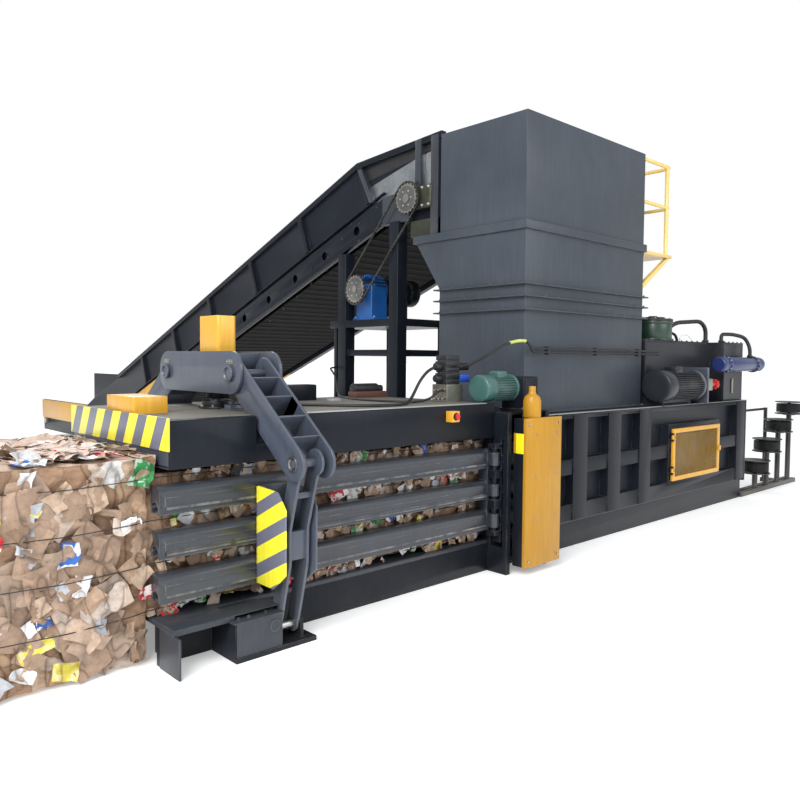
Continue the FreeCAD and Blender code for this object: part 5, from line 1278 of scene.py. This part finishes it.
slat = cube("slat", (-belt["half"], 0.003, -belt["thick"] / 2), (belt["half"], belt["pitch"] - 0.003, belt["thick"] / 2))
insetFaces(slat, lambda centre, normal: normal.z > 0.9, 0.012, -0.003)
rounded(slat, 0.003, 1)
pin = rod("hingePin", "X", -belt["half"], belt["half"], (0, 0), 0.009, 10)
slatModel = joined("slatModel", [slat, pin])
flightPlate = cube("flight", (-belt["half"], 0.050, 0.008), (belt["half"], 0.058, 0.008 + belt["flight"]))
rounded(flightPlate, 0.002, 1)
slats, flights = [], []
for number, (place, angle) in enumerate(spacedAlong(beltPath(), belt["pitch"])):
    turn = Matrix.Translation((0, place.x, place.y)) @ Matrix.Rotation(angle, 4, "X")
    slats.append(copyOf(slatModel, turn))
    inside = 1.6 < place.x < 10.3
    if number % belt["every"] == 0 and inside and math.cos(angle) > 0:
        flights.append(copyOf(flightPlate, turn))
remove(slatModel, flightPlate)
finished(smooth(joined("beltSlats", slats + flights)), "press", metals["belt"], "slat_belt")
print("belt is made")


# valve group: light manifold, black stacked valves, fittings, blue coil plugs and the pipes beside them

valves = {"block": ((-1.728, -0.418, 1.212), (-1.562, -0.272, 1.342)), "stack": ((-1.713, -0.398), (-1.577, -0.292)),
          "levels": [1.345, 1.388, 1.431, 1.474, 1.517], "coilY": -0.345,
          "coils": [(1.384, -1.775, -1.708), (1.469, -1.775, -1.708), (1.469, -1.582, -1.437)]}
block = cube("manifold", *valves["block"])
insetFaces(block, lambda centre, normal: normal.y < -0.9, 0.010, -0.002)
insetFaces(block, lambda centre, normal: normal.x < -0.9, 0.010, -0.002)
rounded(block, 0.003)
ports = []
for z in (1.245, 1.305):
    for y in (-0.385, -0.345, -0.305):
        port = rod("port", "X", -1.736, -1.726, (y, z), 0.013, 6)
        insetFaces(port, lambda centre, normal: normal.x < -0.9, 0.003, -0.003)
        ports.append(rounded(port, 0.0008, 1))
finished(smooth(joined("valveManifold", [block] + ports)), "press", metals["cast"], ())
stack = []
for i, z in enumerate(valves["levels"]):
    grow = 0.004 * (i % 2)
    (x0, y0), (x1, y1) = valves["stack"]
    body = cube("valveBody", (x0 - grow, y0 - grow, z - 0.003), (x1 + grow, y1 + grow, z + 0.034))
    insetFaces(body, lambda centre, normal: abs(normal.y) > 0.9, 0.005, 0.003)
    stack.append(rounded(body, 0.003))
for x, y, tall in ((-1.69, -0.37, 0.030), (-1.60, -0.37, 0.026), (-1.69, -0.32, 0.024), (-1.60, -0.32, 0.030), (-1.645, -0.345, 0.034)):
    knob = rod("valveKnob", "Z", 1.515, 1.520 + tall - 0.002, (x, y), 0.012, 8)
    insetFaces(knob, lambda centre, normal: normal.z > 0.9, 0.003, 0.003)
    stack.append(rounded(knob, 0.0015, 1))
for z, start, end in valves["coils"]:
    coil = rod("coil", "X", start, end, (valves["coilY"], z), 0.027, 28)
    insetFaces(coil, lambda centre, normal: abs(normal.x) > 0.9, 0.006, 0.003)
    stack.append(rounded(coil, 0.003))
finished(smooth(joined("valveStack", stack)), "press", plastics["black"], ())
plug = cube("coilPlug", (-1.560, -0.378, 1.356), (-1.442, -0.312, 1.412))
insetFaces(plug, lambda centre, normal: normal.y < -0.9, 0.010, 0.004)
plugNeck = hexNut("X", -1.445, -1.436, (-0.345, 1.384), 0.020)
finished(smooth(joined("coilPlugs", [rounded(plug, 0.006), plugNeck])), "press", plastics["coil"], ())
junction = {"box": ((-2.538, 0.352, 1.214), (-2.302, 0.468, 1.328)), "pilot": ((-1.888, 0.402, 1.212), (-1.562, 0.498, 1.262)),
            "barrel": (-1.878, -1.640, (0.450, 1.284), 0.043), "stem": (-1.642, -1.586, (0.450, 1.284), 0.029),
            "block": ((-2.308, 0.162, 1.212), (-2.226, 0.223, 1.233))}
junctionBox = cube("junctionBox", *junction["box"])
insetFaces(junctionBox, lambda centre, normal: normal.z > 0.9, 0.010, 0.002)
terminal = cube("terminalBlock", *junction["block"])
insetFaces(terminal, lambda centre, normal: normal.z > 0.9, 0.008, -0.004)
finished(smooth(rounded(junctionBox, 0.005)), "press", paints["frame"], ())
finished(smooth(rounded(terminal, 0.002)), "press", paints["edge"], ())
pilot = cube("pilotBase", *junction["pilot"])
insetFaces(pilot, lambda centre, normal: normal.z > 0.9, 0.012, 0.003)
finished(smooth(rounded(pilot, 0.003)), "press", paints["oxide"], ())
start, end, across, radius = junction["barrel"]
barrel = rod("pilotBarrel", "X", start, end, across, radius, 32)
insetFaces(barrel, lambda centre, normal: abs(normal.x) > 0.9, 0.010, 0.004)
start, end, across, radius = junction["stem"]
stem = rod("pilotStem", "X", start, end, across, radius, 24)
insetFaces(stem, lambda centre, normal: normal.x > 0.9, 0.008, 0.004)
finished(smooth(joined("pilotValve", [rounded(barrel, 0.004), rounded(stem, 0.003)])), "press", plastics["black"],
         "valve_block")
risers = [tube("riser", [(-1.560, -0.345, 1.469), (-1.470, -0.380, 1.475), (-1.300, -0.440, 1.560), (-1.160, -0.480, 1.640),
                         (-1.080, -0.490, 1.652)], 0.010, 0.05)]
finished(joined("coilConduit", risers), "press", plastics["hose"])
sleeve = tube("hoseSleeve", [(-1.110, -0.488, 1.652), (-1.020, -0.505, 1.670), (-0.960, -0.520, 1.668)], 0.013, 0.03)
finished(sleeve, "press", plastics["sleeve"])
elbows = [tube("elbow", [(-0.958, -0.520, 1.668), (-0.930, -0.538, 1.640), (-0.900, -0.543, z), (-0.835, -0.543, z)], 0.010, 0.03)
          for z in (1.585, 1.612)]
elbows += [rod("pipe", "X", -0.840, 1.068, (-0.543, z), 0.010, 16) for z in (1.585, 1.612)]
for x in (-0.700, 0.0, 0.700):
    clip = cube("pipeClip", (x - 0.012, -0.5555, 1.566), (x + 0.012, -0.513, 1.631))
    elbows.append(rounded(clip, 0.003))
print("valve group is made")


# tank group: filter drum, its pipes, tank lid, level glass, cooler and pump

tank = {"filter": (1.500, -0.250), "top": 1.730}
drumParts = []
for radius, low, high in ((0.205, 1.730, 1.750), (0.188, 1.745, 1.905), (0.200, 1.900, 1.925)):
    band = rod("filterBand", "Z", low, high, tank["filter"], radius, 56)
    insetFaces(band, lambda centre, normal: normal.z > 0.9, 0.006, 0.001)
    drumParts.append(rounded(band, 0.004))
finished(smooth(joined("filterDrum", drumParts)), "press", paints["green"], ())
lidParts = []
for radius, low, high in ((0.196, 1.925, 1.948), (0.120, 1.945, 1.966), (0.045, 1.962, 1.979)):
    lid = rod("filterLid", "Z", low, high, tank["filter"], radius, 56)
    insetFaces(lid, lambda centre, normal: normal.z > 0.9, 0.010, 0.002)
    lidParts.append(rounded(lid, 0.005))
finished(smooth(joined("filterLid", lidParts)), "press", plastics["black"], ())
bolted("filterBolts", "press", [(1.500 + 0.165 * math.cos(a), -0.250 + 0.165 * math.sin(a), 1.948)
                                for a in [i * math.pi / 5 for i in range(10)]], (0, 0, 1), 0.009)
shell = cube("tankShell", (1.022, -0.438, 1.100), (2.888, 0.498, 1.722))
insetFaces(shell, lambda centre, normal: normal.y < -0.9, 0.030, 0)
step = cube("tankStep", (2.412, -0.598, 1.100), (2.888, -0.430, 1.722))
insetFaces(step, lambda centre, normal: normal.y < -0.9, 0.020, -0.002)
lid = cube("tankLid", (1.020, -0.440, 1.722), (2.890, 0.500, 1.730))
stepLid = cube("stepLid", (2.410, -0.600, 1.722), (2.890, -0.4395, 1.730))
finished(smooth(joined("tankShell", [rounded(piece, 0.004) for piece in (shell, step, lid, stepLid)])), "press",
         paints["tank"], "oil_tank")
bolted("tankLidBolts", "press", boltRow((1.06, -0.425, 1.730), (2.37, -0.425, 1.730), 12), (0, 0, 1), 0.008, paints["frame"])
bolted("stepLidBolts", "press", boltRow((2.44, -0.585, 1.730), (2.86, -0.585, 1.730), 5), (0, 0, 1), 0.008, paints["frame"])
glass = cube("levelGlass", (2.600, -0.606, 1.180), (2.640, -0.598, 1.340))
insetFaces(glass, lambda centre, normal: normal.y < -0.9, 0.006, -0.002)
finished(smooth(rounded(glass, 0.002)), "press", metals["cast"])
filterPipe = tube("filterPipe", [(1.690, -0.250, 1.850), (1.780, -0.250, 1.850), (1.900, -0.300, 1.930), (2.250, -0.400, 1.955),
                                 (2.360, -0.410, 1.880), (2.360, -0.410, 1.730)], 0.022, 0.10)
coolerPipe = tube("coolerPipe", [(2.500, -0.520, 1.730), (2.500, -0.520, 1.820), (2.700, -0.560, 1.825), (2.840, -0.640, 1.790),
                                 (2.850, -0.690, 1.670), (2.850, -0.690, 1.572)], 0.020, 0.09)
collars = [hexNut("Z", 1.730, 1.756, (2.360, -0.410), 0.036), hexNut("Z", 1.730, 1.754, (2.500, -0.520), 0.033),
           hexNut("X", 1.688, 1.712, (-0.250, 1.850), 0.036), hexNut("Z", 1.572, 1.594, (2.850, -0.690), 0.033)]
fans = [tube("returnPipe", [(1.500 + 0.19 * math.cos(a), -0.250 + 0.19 * math.sin(a), 1.800),
                            (1.500 + 0.30 * math.cos(a), -0.250 + 0.30 * math.sin(a), 1.830),
                            (1.500 + 0.42 * math.cos(a), -0.250 + 0.40 * math.sin(a), 1.800),
                            (1.500 + 0.46 * math.cos(a), -0.250 + 0.42 * math.sin(a), 1.728)], 0.014, 0.06)
        for a in (-0.10, 0.22, 0.52)]
finished(smooth(joined("oilPipework", [filterPipe, coolerPipe] + collars + elbows + fans), 60), "press", plastics["hose"],
         "oil_pipes")
sensor = tube("sensorLead", [(1.760, -0.420, 1.730), (1.770, -0.425, 1.790), (1.900, -0.430, 1.800), (2.000, -0.436, 1.735)], 0.004, 0.04)
sensorPlug = rod("sensorPlug", "Z", 1.728, 1.765, (1.760, -0.420), 0.011, 12)
finished(smooth(joined("sensorLead", [sensor, rounded(sensorPlug, 0.002)])), "press", plastics["white"])

cooler = {"axis": (-0.690, 1.495), "start": 2.060, "end": 3.090, "radius": 0.077, "flanges": (2.215, 2.925)}
shell = rod("coolerShell", "X", 2.105, 3.045, cooler["axis"], cooler["radius"], 56)
parts = [rounded(shell, 0.004)]
for x, turn in ((cooler["start"] + 0.048, -1), (cooler["end"] - 0.048, 1)):
    cap = rod("coolerCap", "X", x - 0.046, x + 0.046, cooler["axis"], cooler["radius"] + 0.001, 56)
    insetFaces(cap, lambda centre, normal: normal.x * turn > 0.9, 0.018, 0.0)
    parts.append(rounded(cap, 0.030, 5))
for x in cooler["flanges"]:
    flange = rod("coolerFlange", "X", x - 0.010, x + 0.010, cooler["axis"], 0.090, 56)
    insetFaces(flange, lambda centre, normal: abs(normal.x) > 0.9, 0.006, 0.001)
    parts.append(rounded(flange, 0.003))
for x in (2.480, 2.750):
    saddle = cube("saddle", (x - 0.020, -0.690, 1.456), (x + 0.020, -0.600, 1.534))
    parts.append(rounded(saddle, 0.003))
finished(smooth(joined("coolerBody", parts)), "press", paints["navy"], "oil_cooler")
bolted("coolerBolts", "press", [(x - 0.010, -0.690 + 0.082 * math.cos(a), 1.495 + 0.082 * math.sin(a)) for x in cooler["flanges"]
                                for a in [i * math.pi / 6 for i in range(12)]], (-1, 0, 0), 0.005)

pump = {"axis": (-0.605, 1.286), "start": 0.930, "radius": 0.142}
parts = ribbedMotor("pump", pump["axis"], 0.932, 1.640, 0.142, 40, {"length": 0.150, "end": -1})
parts.append(terminalBox((1.200, -0.665, 1.390), (1.340, -0.545, 1.462)))
feet = cube("pumpFeet", (1.000, -0.645, 1.100), (1.560, -0.445, 1.180))
insetFaces(feet, lambda centre, normal: normal.y < -0.9, 0.020, -0.030)
parts.append(rounded(feet, 0.004))
finished(smooth(joined("pumpMotor", parts)), "press", paints["tank"], ())
ring = rod("motorRing", "X", 1.640, 1.664, pump["axis"], 0.150, 56)
insetFaces(ring, lambda centre, normal: abs(normal.x) > 0.9, 0.010, 0.002)
bellhouse = rod("bellHousing", "X", 1.664, 1.756, pump["axis"], 0.095, 48)
upright = cube("pumpPlate", (1.755, -0.725, 1.100), (1.780, -0.445, 1.461))
insetFaces(upright, lambda centre, normal: normal.x < -0.9, 0.012, 0.0015)
finished(smooth(joined("pumpMount", [rounded(ring, 0.003), rounded(bellhouse, 0.006), rounded(upright, 0.003)])), "press",
         paints["clamp"], ())
collar = rod("pumpCollar", "X", 1.780, 1.880, pump["axis"], 0.070, 40)
pumpCase = cube("pumpCase", (1.880, -0.667, 1.224), (2.000, -0.543, 1.348))
shaftEnd = rod("pumpShaft", "X", 2.000, 2.135, pump["axis"], 0.024, 24)
bore = rod("pumpBore", "X", 2.094, 2.2, pump["axis"], 0.0105, 24)
parts = [rounded(collar, 0.006), rounded(pumpCase, 0.010), shaftEnd]
finished(smooth(cutBy(joined("pumpBody", parts), bore)), "press", metals["cast"], "pump_set")
knob = rod("knobDisc", "X", 2.143, 2.184, pump["axis"], 0.050, 36)
insetFaces(knob, lambda centre, normal: normal.x > 0.9, 0.010, 0.0)
insetFaces(knob, lambda centre, normal: normal.x > 0.9 and (Vector((centre.y, centre.z)) - Vector(pump["axis"])).length < 0.001, 0.012, -0.006)
grips = copies("grips", rounded(rod("grip", "X", 2.144, 2.183, (0.0, 0.0), 0.008, 10), 0.002, 1),
               [Matrix.Translation((0, pump["axis"][0] + 0.047 * math.cos(a), pump["axis"][1] + 0.047 * math.sin(a)))
                for a in [i * math.pi / 5 for i in range(10)]])
stalk = rod("knobStalk", "X", 2.102, 2.144, pump["axis"], 0.0098, 20)
finished(smooth(joined("knobBody", [rounded(knob, 0.005), grips, stalk])), "knob", plastics["red"], "valve_knob")
print("tank group is made")


# access door: folded frame, woven mesh, hinge knuckles and latch

door = {"low": (1.152, -0.680, 0.373), "high": (2.165, -0.655, 0.875), "edge": 0.042, "wire": 0.0022, "pitch": 0.019}
doorFrame = cube("doorFrame", door["low"], door["high"])
insetFaces(doorFrame, lambda centre, normal: abs(normal.y) > 0.9, door["edge"], 0)
pickFaces(doorFrame, lambda centre, normal: abs(normal.y) > 0.9 and abs(centre.x - 1.6585) < 0.01 and abs(centre.z - 0.624) < 0.01)
bpy.ops.mesh.bridge_edge_loops()
leaveEdit()
rounded(doorFrame, 0.004)
knuckles = []
for level in (0.478, 0.798):
    barrel = rod("barrel", "Z", level - 0.020, level + 0.020, (1.140, -0.680), 0.013, 20)
    bore = rod("bore", "Z", level - 0.03, level + 0.03, (1.140, -0.680), 0.0085, 20)
    leaf = cube("leaf", (1.152, -0.680, level - 0.020), (1.182, -0.670, level + 0.020))
    knuckles += [cutBy(barrel, bore), rounded(leaf, 0.002)]
latch = cube("latch", (2.115, -0.702, 0.600), (2.151, -0.680, 0.650))
insetFaces(latch, lambda centre, normal: normal.y < -0.9, 0.006, 0.0)
finished(smooth(joined("doorFrame", [doorFrame, rounded(latch, 0.004)] + knuckles)), "door", paints["yellow"],
         "access_door")
wires = []
low, high = (door["low"][i] + door["edge"] - 0.004 for i in (0, 2)), (door["high"][i] - door["edge"] + 0.004 for i in (0, 2))
(x0, z0), (x1, z1) = low, high
upright = rod("wire", "Z", z0, z1, (0, 0), door["wire"], 6)
level = rod("wire", "X", x0, x1, (0, 0), door["wire"], 6)
for i in range(int((x1 - x0) / door["pitch"]) + 1):
    wires.append(copyOf(upright, Matrix.Translation((x0 + i * door["pitch"], -0.6690, 0))))
for i in range(int((z1 - z0) / door["pitch"]) + 1):
    wires.append(copyOf(level, Matrix.Translation((0, -0.6655, z0 + i * door["pitch"]))))
remove(upright, level)
finished(smooth(joined("doorMesh", wires)), "door", paints["meshYellow"])
print("door is made")


# wire reels: stepped flanges, raised boss and wound wire

reels = {"radius": 0.165, "height": 0.160, "core": 0.130, "y": -0.550, "places": [(3.445, 0.370), (3.788, 0.600), (4.131, 0.820), (4.474, 1.025)]}
for number, (x, top) in enumerate(reels["places"], 1):
    low = top - reels["height"]
    shell = rod("reelCore", "Z", low + 0.008, top - 0.008, (x, reels["y"]), reels["core"], 40)
    for start, end in ((low, low + 0.012), (top - 0.012, top)):
        rim = rod("reelRim", "Z", start, end, (x, reels["y"]), reels["radius"], 56)
        insetFaces(rim, lambda centre, normal: abs(normal.z) > 0.9, 0.012, -0.002)
        shell = joined("reelShell", [shell, rounded(rim, 0.002)])
    raised = rod("reelBoss", "Z", top - 0.003, top + 0.0, (x, reels["y"]), 0.070, 40)
    shell = joined("reelShell", [shell, raised])
    bore = rod("bore", "Z", low - 0.1, top - 0.014, (x, reels["y"]), 0.0165, 24)
    finished(smooth(rounded(cutBy(shell, bore), 0.0015, 1)), f"reel_{number}", paints["reel"], f"reel_{number}")
    turn = rod("turn", "Z", -0.0035, 0.0035, (0, 0), 0.1475, 40)
    rounded(turn, 0.003, 1)
    wound = copies("wound", turn, [Matrix.Translation((x, reels["y"], low + 0.030 + 0.0075 * i)) for i in range(14)])
    hole = rod("hole", "Z", low, top, (x, reels["y"]), 0.10, 24)
    finished(smooth(cutBy(wound, hole)), f"reel_{number}", metals["dark"]).name = f"woundWire{number}"
print("reels are made")


# emergency stop, guard trim, sensor plate, wall strip and hopper bolts

collar = rod("stopCollar", "Y", -0.7112, -0.7075, (-1.944, 1.142), 0.026, 32)
finished(smooth(rounded(collar, 0.001)), "press", plastics["black"])
mushroom = rod("stopMushroom", "Y", -0.7315, -0.7180, (-1.944, 1.142), 0.0198, 32)
insetFaces(mushroom, lambda centre, normal: normal.y < -0.9, 0.003, 0.0)
stalk = rod("stopStalk", "Y", -0.7185, -0.7005, (-1.944, 1.142), 0.010, 20)
finished(smooth(joined("stopMushroom", [rounded(mushroom, 0.005, 3), stalk])), "stop_button", plastics["red"],
         "estop_button")
sensorPlate = cube("sensorPlate", (-1.4205, -0.868, 0.864), (-1.4175, -0.800, 1.006))
insetFaces(sensorPlate, lambda centre, normal: normal.x < -0.9, 0.006, 0.001)
finished(smooth(rounded(sensorPlate, 0.001)), "press", paints["bright"])
strips = [cube("wallStrip", (-0.985, -0.690, 1.100), (0.900, -0.640, 1.1035)), cube("wallStrip", (0.960, -0.690, 1.100), (2.855, -0.660, 1.1025))]
for strip in strips:
    insetFaces(strip, lambda centre, normal: normal.z > 0.9, 0.006, 0.0008)
finished(smooth(joined("wallStrips", [rounded(strip, 0.001, 1) for strip in strips])), "press", paints["edge"])
low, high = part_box("hopper_body")
ribBolts = [(x, low.y + 0.012, z) for z in (1.926, 2.030, 2.126) for x in [-0.85 + 0.17 * i for i in range(11)]]
ribBolts += [(low.x + 0.012, y, z) for z in (1.926, 2.030, 2.126) for y in [-0.42 + 0.14 * i for i in range(7)]]
bolted("hopperBolts", "press", ribBolts, (0, 0, 1), 0.007, paints["hopper"])
bolted("footBoltsHopper", "press", boltRow((-0.88, low.y + 0.022, 1.112), (0.88, low.y + 0.022, 1.112), 12), (0, 0, 1), 0.009,
       paints["hopper"])
guardBolts = [(-1.30, -0.8905, z) for z in (0.12, 0.40, 0.70, 1.00)] + [(-1.06, -0.8905, z) for z in (0.12, 0.40, 0.70, 1.00)]
bolted("guardScrews", "press", guardBolts, (0, -1, 0), 0.005)
print("trim is made")


# carried over as they are

keptNodes = {
    "piston_rod": "chrome", "twister_shaft": "steel", "head_shaft": "cast",
    "tail_shaft": "steel", "motor_sprocket": "cast", 
    
    
    
    "bolts": "steel",
}
for node, materialName in keptNodes.items():
    if node in nodes:
        painted([nodes[node]], allMaterials[materialName])


# floor

bpy.ops.object.select_all(action="DESELECT")
bpy.ops.mesh.primitive_plane_add(size=400, location=(0, 0, -0.001))
floor = bpy.context.object
floor.name = "floor"
settle(floor)
floorMaterial, floorTree, floorShader = newMaterial("paleFloor")
floorShader.inputs["Roughness"].default_value = 0.85
floorShade = rampNode(floorTree, noiseValue(floorTree, objectPlace(floorTree), 0.6, 4.0),
                      [(0.3, (0.90, 0.90, 0.89)), (0.7, (0.95, 0.95, 0.945))])
floorTree.links.new(floorShade, floorShader.inputs["Base Color"])
floorTree.links.new(floorShade, floorShader.inputs["Emission Color"])
# the floor brightens away from the machine, where the lamps no longer reach
reach = floorTree.nodes.new("ShaderNodeVectorMath")
reach.operation = "LENGTH"
floorTree.links.new(objectPlace(floorTree), reach.inputs[0])
lift = floorTree.nodes.new("ShaderNodeMapRange")
lift.inputs["From Min"].default_value = 9.0
lift.inputs["From Max"].default_value = 40.0
lift.inputs["To Min"].default_value = 0.31
lift.inputs["To Max"].default_value = 0.72
floorTree.links.new(reach.outputs["Value"], lift.inputs["Value"])
floorTree.links.new(lift.outputs["Result"], floorShader.inputs["Emission Strength"])
floor.data.materials.append(floorMaterial)
